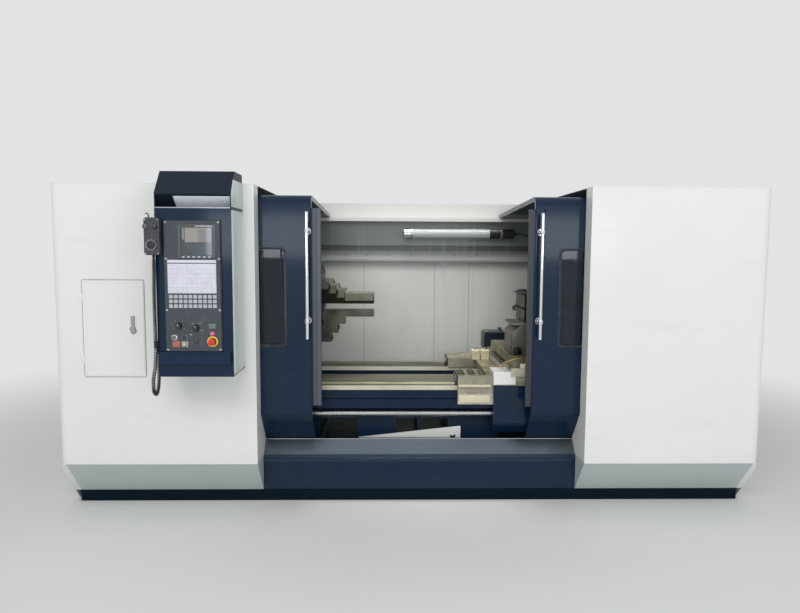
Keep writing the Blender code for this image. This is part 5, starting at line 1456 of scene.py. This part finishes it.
# Carriage and turret
class LATHE_OT_carriage(bpy.types.Operator):
    """Adds way wipers, saddle screws and strips, covers, lubrication and the motor's fittings."""

    bl_idname = "lathe.carriage"
    bl_label = "Carriage fittings"

    def execute(self, context):
        bolt = context.scene.lathe_sizes.bolt
        self.wipers()
        self.saddle(bolt)
        self.lubrication()
        self.motor(bolt)
        return {"FINISHED"}

    def wipers(self):
        """Rubber way wipers under plates on both ends of the front and rear wings."""
        parts = []
        for x, side in ((0.298, -1), (1.098, 1)):
            for low, high in ((0.30, 0.47), (0.99, 1.19)):
                near, far = sorted((x, x + side * 0.008))
                rubber = block((near, low, 0.7430), (far, high, 0.789), 0.0012)
                near, far = sorted((x + side * 0.0079, x + side * 0.011))
                cover = block((near, low + 0.004, 0.752), (far, high - 0.004, 0.787), 0.0008)
                start = (x + side * 0.011, low + 0.018, 0.770)
                places = grid(y=(0, (high - low) / 2 - 0.018, high - low - 0.036))
                heads = repeat(pan_screw("X", start, side, 0.0048), places)
                parts += [dress(rubber, "rubber"), dress(cover, "steel"), dress(heads, "steel")]
        piece("way_wipers", parts, "carriage")

    def saddle(self, bolt):
        """Bolts, gib screws and strips on the wings, the scale's cover, a guard and limit blocks."""
        places = grid(x=(0, 0.07, 0.14, 0.21), y=(0, 0.085))
        tops = repeat(socket_screw("Z", (0.325, 0.345, 0.8), 1, bolt * 0.62, 0.008), places[:6])
        places = row(2, x=0.73)
        rear = repeat(socket_screw("Z", (0.335, 1.17, 0.798), 1, bolt * 0.7, 0.009), places)
        places = grid(x=(0, 0.09, 0.66, 0.71))
        gibs = repeat(socket_screw("Y", (0.345, 0.262, 0.665), -1, bolt * 0.55, 0.006), places)
        parts = [dress(tops, "jaw"), dress(rear, "steel"), dress(gibs, "ivory")]
        piece("saddle_bolts", parts, "carriage")
        lip = block((0.300, 0.2420, 0.7310), (0.510, 0.2618, 0.7440), 0.0015)
        strip = block((0.302, 0.2500, 0.6250), (0.508, 0.2618, 0.6760), 0.0020)
        piece("saddle_strips", dressed("cream", lip, strip), "carriage")
        scale = block((0.600, 0.46, 0.797), (0.6265, 0.99, 0.838), 0.002)
        lid = block((0.606, 0.47, 0.838), (0.6225, 0.98, 0.8395), 0.0006)
        piece("scale_cover", [dress(scale, "aluminium"), dress(lid, "steel")], "carriage")
        guard = block((0.64, 0.2415, 0.848), (1.01, 0.2735, 0.8515), 0.0008)
        fold = block((0.64, 0.2415, 0.800), (1.01, 0.2450, 0.8505), 0.0008)
        heads = repeat(pan_screw("Y", (0.67, 0.2415, 0.825), -1, 0.005), row(3, x=0.155))
        parts = dressed("ivory", guard, fold, heads)
        piece("slide_guard", parts, "carriage")
        blocks = []
        for x in (0.468, 0.538):
            base = block((x, 0.88, 0.7965), (x + 0.060, 0.945, 0.872), 0.004)
            recess(base, facing("Y", -1), 0.010, 0.003)
            blocks.append(dress(base, "cream"))
            cap = rod("Z", (x + 0.03, 0.912, 0.872), 0.014, 0.013, 20, 0.002)
            blocks.append(dress(cap, "steel"))
        piece("limit_blocks", blocks, "carriage")

    def lubrication(self):
        """A distributor by the screw cover and its copper pipes."""
        body = block((0.700, 0.243, 0.8517), (0.790, 0.272, 0.880), 0.003)
        nuts = repeat(rod("Z", (0.712, 0.257, 0.880), 0.009, 0.0055, 6), row(4, x=0.022))
        parts = [dress(body, "cream"), dress(nuts, "brass")]
        for n in range(4):
            x = 0.712 + 0.022 * n
            end = (0.600 - 0.02 * n, 0.47 + 0.03 * n, 0.802)
            route = [(x, 0.257, 0.885), (x, 0.257, 0.905 + 0.004 * n)]
            route += [(x - 0.02, 0.256, 0.915 + 0.003 * n), (0.632 - 0.006 * n, 0.256, 0.90)]
            route += [(0.616 - 0.008 * n, 0.34, 0.862), end]
            parts.append(dress(pipe(route, 0.0021, 8, 8), "brass"))
        piece("lubrication", parts, "carriage", 50)

    def motor(self, bolt):
        """Cooling ribs, a lid with its screws and a connector on the cross slide's motor."""
        parts = []
        for low, high in ((0.6055, 0.607), (0.797, 0.7985)):
            rib = block((low, 1.25, 0.835), (high, 1.37, 0.838), 0.0005)
            parts.append(dress(repeat(rib, row(7, z=0.014)), "head"))
        lid = block((0.615, 1.24, 0.9549), (0.789, 1.38, 0.9610), 0.003)
        recess(lid, facing("Z"), 0.012, 0.002)
        plug = rod("Z", (0.75, 1.33, 0.9585), 0.030, 0.013, 24, 0.002)
        nut = rod("Z", (0.75, 1.33, 0.9645), 0.009, 0.0165, 6, 0.001)
        places = grid(x=(0, 0.148), y=(0, 0.116))
        heads = repeat(socket_screw("Z", (0.628, 1.252, 0.961), 1, bolt * 0.4, 0.005), places)
        parts += [dress(lid, "panel"), dress(plug, "black"), *dressed("steel", nut, heads)]
        piece("motor_fittings", parts, "carriage")


class LATHE_OT_turret(bpy.types.Operator):
    """Adds the tool holder's clamp screws, lever and collar, and the tool's carbide tip."""

    bl_idname = "lathe.turret"
    bl_label = "Turret fittings"

    def execute(self, context):
        bolt = context.scene.lathe_sizes.bolt
        centre = (0.865, 0.445, 1.325)
        model = socket_screw("Z", (0.775, 0.330, 1.325), 1, bolt * 0.72, 0.016)
        screws = repeat(repeat(model, row(3, x=0.09)), spun("Z", centre, (0, 90, 180, 270)))
        hub = [(0.0, 0.0), (0.0, 0.052), (0.006, 0.058), (0.012, 0.058), (0.016, 0.054)]
        hub = turned("Z", (0.865, 0.445, 1.3249), hub + [(0.016, 0.0)], 40)
        cap = [(0.0, 0.0), (0.0, 0.026), (0.014, 0.026), (0.020, 0.021), (0.022, 0.0)]
        cap = turned("Z", (0.865, 0.445, 1.3649), cap, 32)
        arm = pipe([(0.865, 0.445, 1.3760), (0.835, 0.400, 1.392), (0.795, 0.340, 1.418)], 0.0075, 16)
        knob = ball((0.789, 0.331, 1.422), 0.017)
        parts = [dress(screws, "turret"), dress(hub, "turret"), dress(cap, "steel")]
        parts += [dress(arm, "steel"), dress(knob, "black")]
        piece("tool_clamps", parts, "turret")
        tip = block((0.7225, 0.640, 1.2273), (0.7435, 0.6565, 1.2325), 0.001)
        clamp = block((0.730, 0.612, 1.2273), (0.756, 0.642, 1.2345), 0.003)
        pin = socket_screw("Z", (0.743, 0.625, 1.2345), 1, 0.0052, 0.004)
        parts = [dress(tip, "brass"), dress(clamp, "jaw"), dress(pin, "turret")]
        piece("tool_tip", parts, "turret")
        band = block((0.6520, 0.3085, 1.128), (1.0010, 0.5815, 1.140), 0.002)
        recess(band, facing("Z"), 0.004, 0.001)
        heads = repeat(socket_screw("Y", (0.69, 0.31, 0.955), -1, bolt * 0.7, 0.008), row(4, x=0.09))
        piece("turret_collar", [dress(band, "tower"), dress(heads, "turret")], "cross_slide")
        return {"FINISHED"}


# Tailstock
class LATHE_OT_tailstock(bpy.types.Operator):
    """Adds the tailstock's bolts, clamp lever, quill ring and the wheel's rim and hub."""

    bl_idname = "lathe.tailstock"
    bl_label = "Tailstock fittings"

    def execute(self, context):
        bolt = context.scene.lathe_sizes.bolt
        heads = repeat(socket_screw("Y", (1.34, 0.400, 0.775), -1, bolt * 0.9, 0.009), row(4, x=0.107))
        post = rod("Z", (1.42, 0.75, 1.3598), 0.030, 0.017, 28, 0.003)
        arm = pipe([(1.42, 0.75, 1.383), (1.46, 0.68, 1.395), (1.53, 0.60, 1.425)], 0.008, 16)
        knob = ball((1.536, 0.593, 1.429), 0.019)
        parts = [dress(heads, "steel"), dress(post, "steel"), dress(arm, "chrome"), dress(knob, "black")]
        piece("tail_clamp", parts, "tailstock")
        collar = [(0.0, 0.0562), (0.0, 0.084), (-0.010, 0.084), (-0.014, 0.080), (-0.014, 0.0562)]
        collar = hoop("X", (1.3001, SPINDLE_Y, SPINDLE_Z), collar, 48)
        piece("quill_ring", [dress(collar, "steel")], "tailstock")
        rim = ring("X", (1.757, SPINDLE_Y, SPINDLE_Z), 0.1165, 0.0075, 56, 12)
        hub = [(0.0, 0.0), (0.0, 0.026), (0.010, 0.026), (0.015, 0.020), (0.016, 0.0)]
        hub = turned("X", (1.7569, SPINDLE_Y, SPINDLE_Z), hub, 32)
        piece("wheel_rim", [dress(rim, "chrome"), dress(hub, "steel")], "tail_handwheel")
        return {"FINISHED"}


# Rear guard and lamp
class LATHE_OT_rear(bpy.types.Operator):
    """Adds the lamp's caps, cable and clamps, and the guard's rivets."""

    bl_idname = "lathe.rear"
    bl_label = "Rear guard and lamp"

    def execute(self, context):
        y, z = 1.403, 1.744
        cap = [(0.0, 0.0355), (0.0, 0.0385), (0.046, 0.0385), (0.050, 0.0355)]
        left = hoop("X", (-0.022, y, z), cap, 40)
        plug = [(0.0, 0.0), (0.0, 0.0385), (-0.006, 0.0385), (-0.009, 0.034), (-0.009, 0.0)]
        end = turned("X", (-0.0221, y, z), plug, 40)
        sleeve = [(0.0, 0.0353), (0.0, 0.0385), (0.187, 0.0385), (0.187, 0.0353)]
        right = hoop("X", (0.665, y, z), sleeve, 40)
        back = turned("X", (0.8521, y, z), [(-a, r) for a, r in plug], 40)
        bands = repeat(ring("X", (0.115, y, z), 0.0362, 0.0018, 36, 8), grid(x=(0, 0.26, 0.46)))
        parts = [*dressed("chrome", left, end), *dressed("black", right, back), dress(bands, "steel")]
        piece("lamp_caps", parts, "machine")
        gland = rod("X", (0.8605, y, z), 0.028, 0.012, 20, 0.002, 0.008)
        route = [(0.880, y, z), (0.93, y, z - 0.002), (0.985, y + 0.010, z - 0.020)]
        route += [(1.05, 1.437, z - 0.060), (1.12, 1.4435, z - 0.100)]
        route += [(1.30, 1.4450, z - 0.105), (1.72, 1.4450, z - 0.105)]
        parts = [dress(gland, "black"), dress(pipe(route, 0.0045, 12, 10), "rubber")]
        piece("lamp_cable", parts, "machine", 60)
        clamps = []
        for x in (0.030, 0.760):
            strap = [(-0.010, 0.0387), (-0.010, 0.0415), (0.010, 0.0415), (0.010, 0.0387)]
            strap = hoop("X", (x, y, z), strap, 36)
            foot = block((x - 0.010, y + 0.040, z - 0.012), (x + 0.010, 1.4500, z + 0.012), 0.001)
            clamps += dressed("steel", strap, foot)
        piece("lamp_clamps", clamps, "machine")
        high = repeat(pan_screw("Y", (-0.86, 1.45, 1.572), -1, 0.0055), row(11, x=0.178))
        low = repeat(pan_screw("Y", (-0.86, 1.45, 1.49), -1, 0.0045), row(6, x=0.356))
        piece("guard_rivets", dressed("wall", high, low), "machine")
        return {"FINISHED"}


# Control box
class LATHE_OT_controls(bpy.types.Operator):
    """Adds the control box's trims, screen frame, keys, dials and buttons."""

    bl_idname = "lathe.controls"
    bl_label = "Control box fittings"

    def execute(self, context):
        self.trims()
        self.screen()
        self.keys()
        self.dials()
        self.buttons()
        return {"FINISHED"}

    def trims(self):
        """The hood's pale plate, which paints a reflection on its slanted underside, and its lip, the
        ledge's beads in a painted highlight, side covers and panel edge.
        """
        slant = [(-0.2790, 1.9051), (-0.2170, 1.8504), (-0.2184, 1.8488), (-0.2804, 1.9035)]
        # Painted reflection: a pale plate on the hood's slanted underside
        reflection_plate = plate("YZ", -1.340, -1.031, slant)
        lip = block((-1.437, -0.2916, 1.8395), (-1.026, -0.2901, 1.8450), 0.0006)
        piece("box_trims", [dress(reflection_plate, "reflection_plate"), dress(lip, "aluminium")], "machine")
        heights = (1.0440, 1.0100, 0.9880)
        # The beads wear a lighter navy as a painted highlight
        beads = [straight((-1.4285, -0.3160, z), (-1.0345, -0.3160, z), 0.0032, 10) for z in heights]
        piece("ledge_beads", dressed("highlight_bead", *beads), "machine")
        side = block((-1.0229, -0.284, 0.915), (-1.0199, -0.006, 1.830), 0.001)
        recess(side, facing("X"), 0.012, 0.0012)
        cheek = [(-0.283, 1.848), (-0.006, 1.848), (-0.006, 2.000), (-0.232, 2.000), (-0.283, 1.925)]
        cheek = plate("YZ", -1.0229, -1.0205, cheek, edge=0.0006)
        places = grid(y=(0, 0.262), z=(0, 0.45, 0.890))
        heads = repeat(pan_screw("X", (-1.0199, -0.278, 0.93), 1, 0.0045), places)
        parts = dressed("cover", side, cheek, heads)
        piece("box_side_cover", parts, "machine")
        outer = rounded(-1.392, 1.0490, -1.078, 1.775, 0.006)
        inner = rounded(-1.3865, 1.0525, -1.0835, 1.7695, 0.003)
        surround = dress(plate("XZ", -0.2990, -0.2902, outer, inner, edge=0.001), "black")
        places = grid(x=(0, 0.290), z=(0, 0.222, 0.505, 0.704))
        heads = repeat(pan_screw("Y", (-1.380, -0.3063, 1.059), -1, 0.0036), places)
        piece("panel_edge", [surround, dress(heads, "steel")], "machine")

    def screen(self):
        """The screen's frame, soft keys, and a pale strip along its top that is a painted glint."""
        outer = rounded(-1.3140, 1.5660, -1.1060, 1.7520, 0.010)
        inner = rounded(-1.2950, 1.5820, -1.1250, 1.7340, 0.004)
        surround = dress(plate("XZ", -0.3112, -0.3064, outer, inner, edge=0.0014), "bezel")
        key = block((-1.2890, -0.3118, 1.5695), (-1.2740, -0.3108, 1.5775), 0.0008)
        soft = repeat(key, row(6, x=0.0285))
        # Painted glint: a pale strip along the top of the screen's frame
        glint = block((-1.2150, -0.3118, 1.7395), (-1.1200, -0.3110, 1.7435), 0.0003)
        parts = [surround, dress(soft, "key"), dress(glint, "pale")]
        piece("screen_frame", parts, "machine")

    def key_places(self, rows):
        """Places of ten keys in each row, row by row."""
        return [moved(x=0.0267 * n, z=0.0262 * up) for up in range(rows) for n in range(10)]

    def keys(self):
        """Keys of the keypad and of the machine panel below it, and their lamps."""
        cap = block((-1.3665, -0.3126, 1.3790), (-1.3455, -0.3095, 1.4000), 0.0014, 2)
        recess(cap, facing("Y", -1), 0.0028, 0.0004)
        pale = repeat(cap, self.key_places(6))
        line = block((-1.3690, -0.3104, 1.5370), (-1.1060, -0.3095, 1.5420), 0.0003)
        piece("keypad_keys", [dress(pale, "pale"), dress(line, "panel")], "machine")
        cap = block((-1.3665, -0.3094, 1.2930), (-1.3455, -0.3062, 1.3130), 0.0014, 2)
        recess(cap, facing("Y", -1), 0.0028, 0.0004)
        places = self.key_places(3)
        grey = repeat(cap, places)
        cell = rod("Y", (-1.3490, -0.3090, 1.3105), -0.0008, 0.0013, 10)
        lights = repeat(cell, places[1::3])
        piece("panel_keys", [dress(grey, "key"), dress(lights, "green")], "machine")

    def dials(self):
        """Printed scales round the knobs, and the knobs' collars and pointers."""
        marks = []
        for x, z, radius, count, words in (
            (-1.315, 1.195, 0.0215, 7, ("1", "2", "3", "4")),
            (-1.221, 1.184, 0.0215, 13, ("0", "50", "100", "150")),
        ):
            tick = block((x - 0.0004, -0.3067, z + radius), (x + 0.0004, -0.3062, z + radius + 0.004))
            angles = [-120 + 240 * n / (count - 1) for n in range(count)]
            marks.append(repeat(tick, spun("Y", (x, 0, z), angles)))
            for n, word in enumerate(words):
                turn = math.radians(-120 + 240 * n / (len(words) - 1))
                reach = radius + 0.0095
                place = (x + reach * math.sin(turn), -0.3064, z + reach * math.cos(turn))
                marks.append(figures(word, 0.0072, place))
        piece("dial_marks", dressed("ink", *marks), "machine")
        for body, x, z in (("selector_knob", -1.315, 1.195), ("override_knob", -1.221, 1.184)):
            rim = [(0.0, 0.0), (0.0, 0.0150), (-0.0014, 0.0150), (-0.0024, 0.0138), (-0.0024, 0.0)]
            top = turned("Y", (x, -0.3325, z), rim, 32)
            flute = rod("Y", (x, -0.3310, z + 0.0172), 0.018, 0.0016, 8)
            flutes = repeat(flute, spun("Y", (x, 0, z), range(0, 360, 24)))
            mark = block((x - 0.0011, -0.3354, z), (x + 0.0011, -0.3348, z + 0.0132), 0.0002)
            parts = [dress(top, "black"), dress(flutes, "black"), dress(mark, "ink")]
            piece(f"{body}_cap", parts, body)

    def buttons(self):
        """Small buttons and lamps with their labels, and the start and stop buttons' plates."""
        parts = []
        for x, z, radius, finish in (
            (-1.334, 1.092, 0.0100, "salmon"),
            (-1.286, 1.130, 0.0085, "black"),
            (-1.286, 1.092, 0.0085, "cream"),
            (-1.219, 1.108, 0.0115, "black"),
            (-1.250, 1.146, 0.0055, "steel_grey"),
            (-1.133, 1.150, 0.0095, "pink"),
        ):
            bezel = [(0.0, radius), (0.0, radius + 0.0030), (-0.0030, radius + 0.0026)]
            bezel = hoop("Y", (x, -0.3068, z), bezel + [(-0.0036, radius)], 28)
            cap = [(0.0, 0.0), (0.0, radius * 0.94), (-0.0065, radius * 0.94)]
            cap += [(-0.0080, radius * 0.80), (-0.0084, 0.0)]
            parts.append(dress(bezel, finish if finish in ("salmon", "pink") else "bezel"))
            parts.append(dress(turned("Y", (x, -0.3066, z), cap, 28), finish))
        for x, z, wide, high, finish in (
            (-1.342, 1.129, 0.038, 0.032, "sage"),
            (-1.334, 1.092, 0.038, 0.034, "salmon"),
            (-1.286, 1.092, 0.034, 0.030, "ivory"),
            (-1.286, 1.130, 0.034, 0.030, "bezel"),
            (-1.134, 1.192, 0.038, 0.028, "sage"),
        ):
            low, top = (x - wide / 2, -0.3069, z - high / 2), (x + wide / 2, -0.3061, z + high / 2)
            label = block(low, top, 0.0003)
            parts.append(dress(label, finish))
        mark = block((-1.2198, -0.3156, 1.109), (-1.2182, -0.3150, 1.117), 0.0002)
        parts.append(dress(mark, "ink"))
        round_plate = [(0.0, 0.0215), (0.0, 0.0300), (-0.0008, 0.0300), (-0.0010, 0.0295), (-0.0010, 0.0215)]
        round_plate = hoop("Y", (-1.133, -0.3062, 1.106), round_plate, 40)
        parts.append(dress(round_plate, "yellow"))
        start = [(0.0, 0.0116), (0.0, 0.0150), (-0.0040, 0.0146), (-0.0050, 0.0116)]
        parts.append(dress(hoop("Y", (-1.342, -0.3062, 1.128), start, 28), "chrome"))
        piece("panel_buttons", parts, "machine")
        top = [(0.0, 0.0), (0.0, 0.0185), (-0.0014, 0.0175), (-0.0020, 0.0140), (-0.0020, 0.0)]
        top = turned("Y", (-1.133, -0.3368, 1.106), top, 36)
        piece("estop_cap", [dress(top, "red")], "estop_button")


# Hand pendant
class LATHE_OT_pendant(bpy.types.Operator):
    """Adds the hand pendant's knobs, dial marks, grips and screws."""

    bl_idname = "lathe.pendant"
    bl_label = "Pendant fittings"

    def execute(self, context):
        x, z = -1.440, 1.638
        tick = block((x - 0.0003, -0.3411, z + 0.0312), (x + 0.0003, -0.3406, z + 0.0345))
        fine = repeat(tick, spun("Y", (x, 0, z), range(0, 360, 12)))
        parts = [dress(fine, "ink")]
        for n in range(10):
            turn = math.radians(36 * n)
            place = (x + 0.0375 * math.sin(turn), -0.3408, z + 0.0375 * math.cos(turn))
            parts.append(dress(figures(str(n * 10), 0.0042, place), "ink"))
        for knob_x, knob_z, share, finish in ((-1.471, 1.738, 1.34, "brown"), (-1.418, 1.734, 1, "black")):
            knob = [(0.0, 0.0), (0.0, 0.0125), (-0.0020, 0.0125), (-0.0030, 0.0112)]
            knob += [(-0.0110, 0.0104), (-0.0122, 0.0088), (-0.0122, 0.0)]
            knob = [(along, radius * share) for along, radius in knob]
            knob = turned("Y", (knob_x, -0.3405, knob_z), knob, 28)
            low = (knob_x - 0.0008, -0.3531, knob_z + 0.001)
            mark = block(low, (knob_x + 0.0008, -0.3524, knob_z + 0.008), 0.0002)
            parts += [dress(knob, finish), dress(mark, "ink")]
        parts.append(dress(rod("X", (-1.4819, -0.322, 1.708), -0.006, 0.0055, 16, 0.001), "black"))
        hook = ((-1.462, 1.7858), (-1.462, 1.800), (-1.470, 1.809), (-1.478, 1.806))
        hook = pipe([(across, -0.318, up) for across, up in hook], 0.0032, 8, 8)
        parts.append(dress(hook, "black"))
        outer = rounded(-1.4785, 1.5865, -1.4015, 1.7825, 0.006)
        inner = rounded(-1.4760, 1.5890, -1.4040, 1.7800, 0.004)
        parts.append(dress(plate("XZ", -0.3413, -0.3405, outer, inner), "panel"))
        places = grid(x=(0, 0.066), z=(0, 0.182))
        heads = repeat(pan_screw("Y", (-1.473, -0.3406, 1.592), -1, 0.0022), places)
        parts.append(dress(heads, "steel"))
        for low, high, foot in ((-1.4835, -1.4815, 1.600), (-1.3985, -1.3965, 1.640)):
            rib = block((low, -0.334, foot), (high, -0.301, foot + 0.004), 0.0006)
            parts.append(dress(repeat(rib, row(9, z=0.008)), "rubber"))
        piece("pendant_fittings", parts, "machine")
        grip = [(0.0, 0.0), (0.0, 0.0042), (-0.0100, 0.0052), (-0.0120, 0.0044), (-0.0124, 0.0)]
        grip = turned("Y", (x + 0.017, -0.3528, z + 0.010), grip, 20)
        rim = [(0.0, 0.0255), (0.0, 0.0285), (-0.0010, 0.0280), (-0.0010, 0.0260)]
        rim = hoop("Y", (x, -0.3528, z), rim, 40)
        piece("dial_grip", [dress(grip, "black"), dress(rim, "steel")], "pendant_dial")
        return {"FINISHED"}


# Back of the machine
class LATHE_OT_back(bpy.types.Operator):
    """Adds the cabinet door's vents, folded rim, locks and switch, and the rear panels' fittings."""

    bl_idname = "lathe.back"
    bl_label = "Rear fittings"

    def execute(self, context):
        count = context.scene.lathe_sizes.louvres
        low = self.louvres(-1.83, 1.8203, 0.34, 0.50, count)
        high = self.louvres(-1.83, 1.8203, 1.46, 0.50, count)
        piece("cabinet_vents", dressed("white", low, high), "cabinet_door")
        rear = self.louvres(1.30, 1.8, 0.30, 0.52, count)
        upper = self.louvres(1.30, 1.8, 1.44, 0.52, count)
        piece("rear_vents", dressed("white", rear, upper), "machine")
        self.fold()
        self.lock()
        self.panel()
        return {"FINISHED"}

    def louvres(self, left, y, z, width, count):
        """A column of pressed louvres."""
        fin = block((left, y - 0.0002, z), (left + width, y + 0.0065, z + 0.016))
        pick(fin, facing("Y"))
        bpy.ops.transform.resize(
            value=(0.97, 1, 0.35), center_override=at(left + width / 2, y, z + 0.003)
        )
        bpy.ops.object.mode_set(mode="OBJECT")
        soften(fin, 0.0012)
        return repeat(fin, row(count, z=0.030))

    def fold(self):
        """The cabinet door's folded rim."""
        outer = rounded(-2.081, 0.207, -1.047, 1.873, 0.012)
        inner = rounded(-2.069, 0.219, -1.059, 1.861, 0.008)
        hem = dress(plate("XZ", 1.8202, 1.8222, outer, inner, edge=0.0008), "white")
        piece("cabinet_fold", [hem], "cabinet_door")

    def lock(self):
        """Two locks and the main switch."""
        parts = []
        for z in (0.62, 1.16):
            cup = [(0.0, 0.0), (0.0, 0.024), (0.004, 0.024), (0.008, 0.020), (0.008, 0.0)]
            cup = turned("Y", (-1.095, 1.8202, z), cup, 28)
            bar = block((-1.0985, 1.8282, z - 0.014), (-1.0915, 1.8322, z + 0.014), 0.0012)
            parts += [dress(cup, "chrome"), dress(bar, "black")]
        base = block((-1.33, 1.8202, 1.20), (-1.21, 1.8232, 1.32), 0.001)
        hub = [(0.0, 0.0), (0.0, 0.040), (0.010, 0.040), (0.014, 0.034), (0.014, 0.0)]
        hub = turned("Y", (-1.27, 1.8231, 1.26), hub, 36)
        bar = block((-1.279, 1.8365, 1.222), (-1.261, 1.8475, 1.298), 0.003)
        parts += [dress(base, "yellow"), dress(hub, "red"), dress(bar, "red")]
        piece("cabinet_switch", parts, "cabinet_door")

    def panel(self):
        """Screws of the rear panels, cable glands and the air unit's inlet."""
        places = grid(x=(0, 0.54, 1.08), z=(0, 0.9, 1.80))
        right = repeat(pan_screw("Y", (1.005, 1.8, 0.13), 1, 0.007), places)
        places = grid(x=(0, 1.131), z=(0, 0.88, 1.84))
        left = repeat(pan_screw("Y", (-2.121, 1.8, 0.11), 1, 0.007), places)
        gland = [(0.0, 0.0), (0.0, 0.017), (0.005, 0.017), (0.006, 0.013), (0.018, 0.013)]
        gland = turned("Y", (1.45, 1.8, 0.16), gland + [(0.022, 0.009), (0.022, 0.0)], 24)
        glands = repeat(gland, row(5, x=0.055))
        inlet = [(0.0, 0.0), (0.0, 0.030), (0.004, 0.030), (0.005, 0.018), (0.022, 0.018)]
        inlet = turned("Y", (1.20, 1.8, 0.18), inlet + [(0.024, 0.015), (0.024, 0.0)], 6)
        parts = [dress(right, "steel"), dress(left, "steel"), dress(glands, "black"), dress(inlet, "brass")]
        piece("rear_screws", parts, "machine")


# The add-on
class LATHE_PT_panel(bpy.types.Panel):
    """Buttons and settings in the 3D view's sidebar."""

    bl_idname = "LATHE_PT_panel"
    bl_label = "Flat-bed lathe"
    bl_space_type = "VIEW_3D"
    bl_region_type = "UI"
    bl_category = "Lathe"

    def draw(self, context):
        for settings in (context.scene.lathe_colours, context.scene.lathe_sizes):
            for name in settings.__annotations__:
                self.layout.prop(settings, name)
        for step in STEPS:
            self.layout.operator(step.bl_idname)


STEPS = (
    LATHE_OT_stage,
    LATHE_OT_finishes,
    LATHE_OT_cord,
    LATHE_OT_housings,
    LATHE_OT_doors,
    LATHE_OT_sill,
    LATHE_OT_bed,
    LATHE_OT_headstock,
    LATHE_OT_chuck,
    LATHE_OT_carriage,
    LATHE_OT_turret,
    LATHE_OT_tailstock,
    LATHE_OT_rear,
    LATHE_OT_controls,
    LATHE_OT_pendant,
    LATHE_OT_back,
)
CLASSES = (LatheColours, LatheSizes, *STEPS, LATHE_PT_panel)


def register():
    for kind in CLASSES:
        bpy.utils.register_class(kind)
    bpy.types.Scene.lathe_colours = PointerProperty(type=LatheColours)
    bpy.types.Scene.lathe_sizes = PointerProperty(type=LatheSizes)


def unregister():
    del bpy.types.Scene.lathe_sizes
    del bpy.types.Scene.lathe_colours
    for kind in reversed(CLASSES):
        bpy.utils.unregister_class(kind)


def main():
    """Builds every piece in order."""
    register()
    for step in STEPS:
        getattr(bpy.ops.lathe, step.bl_idname.split(".")[1])()
    begin()


if __name__ == "__main__":
    main()
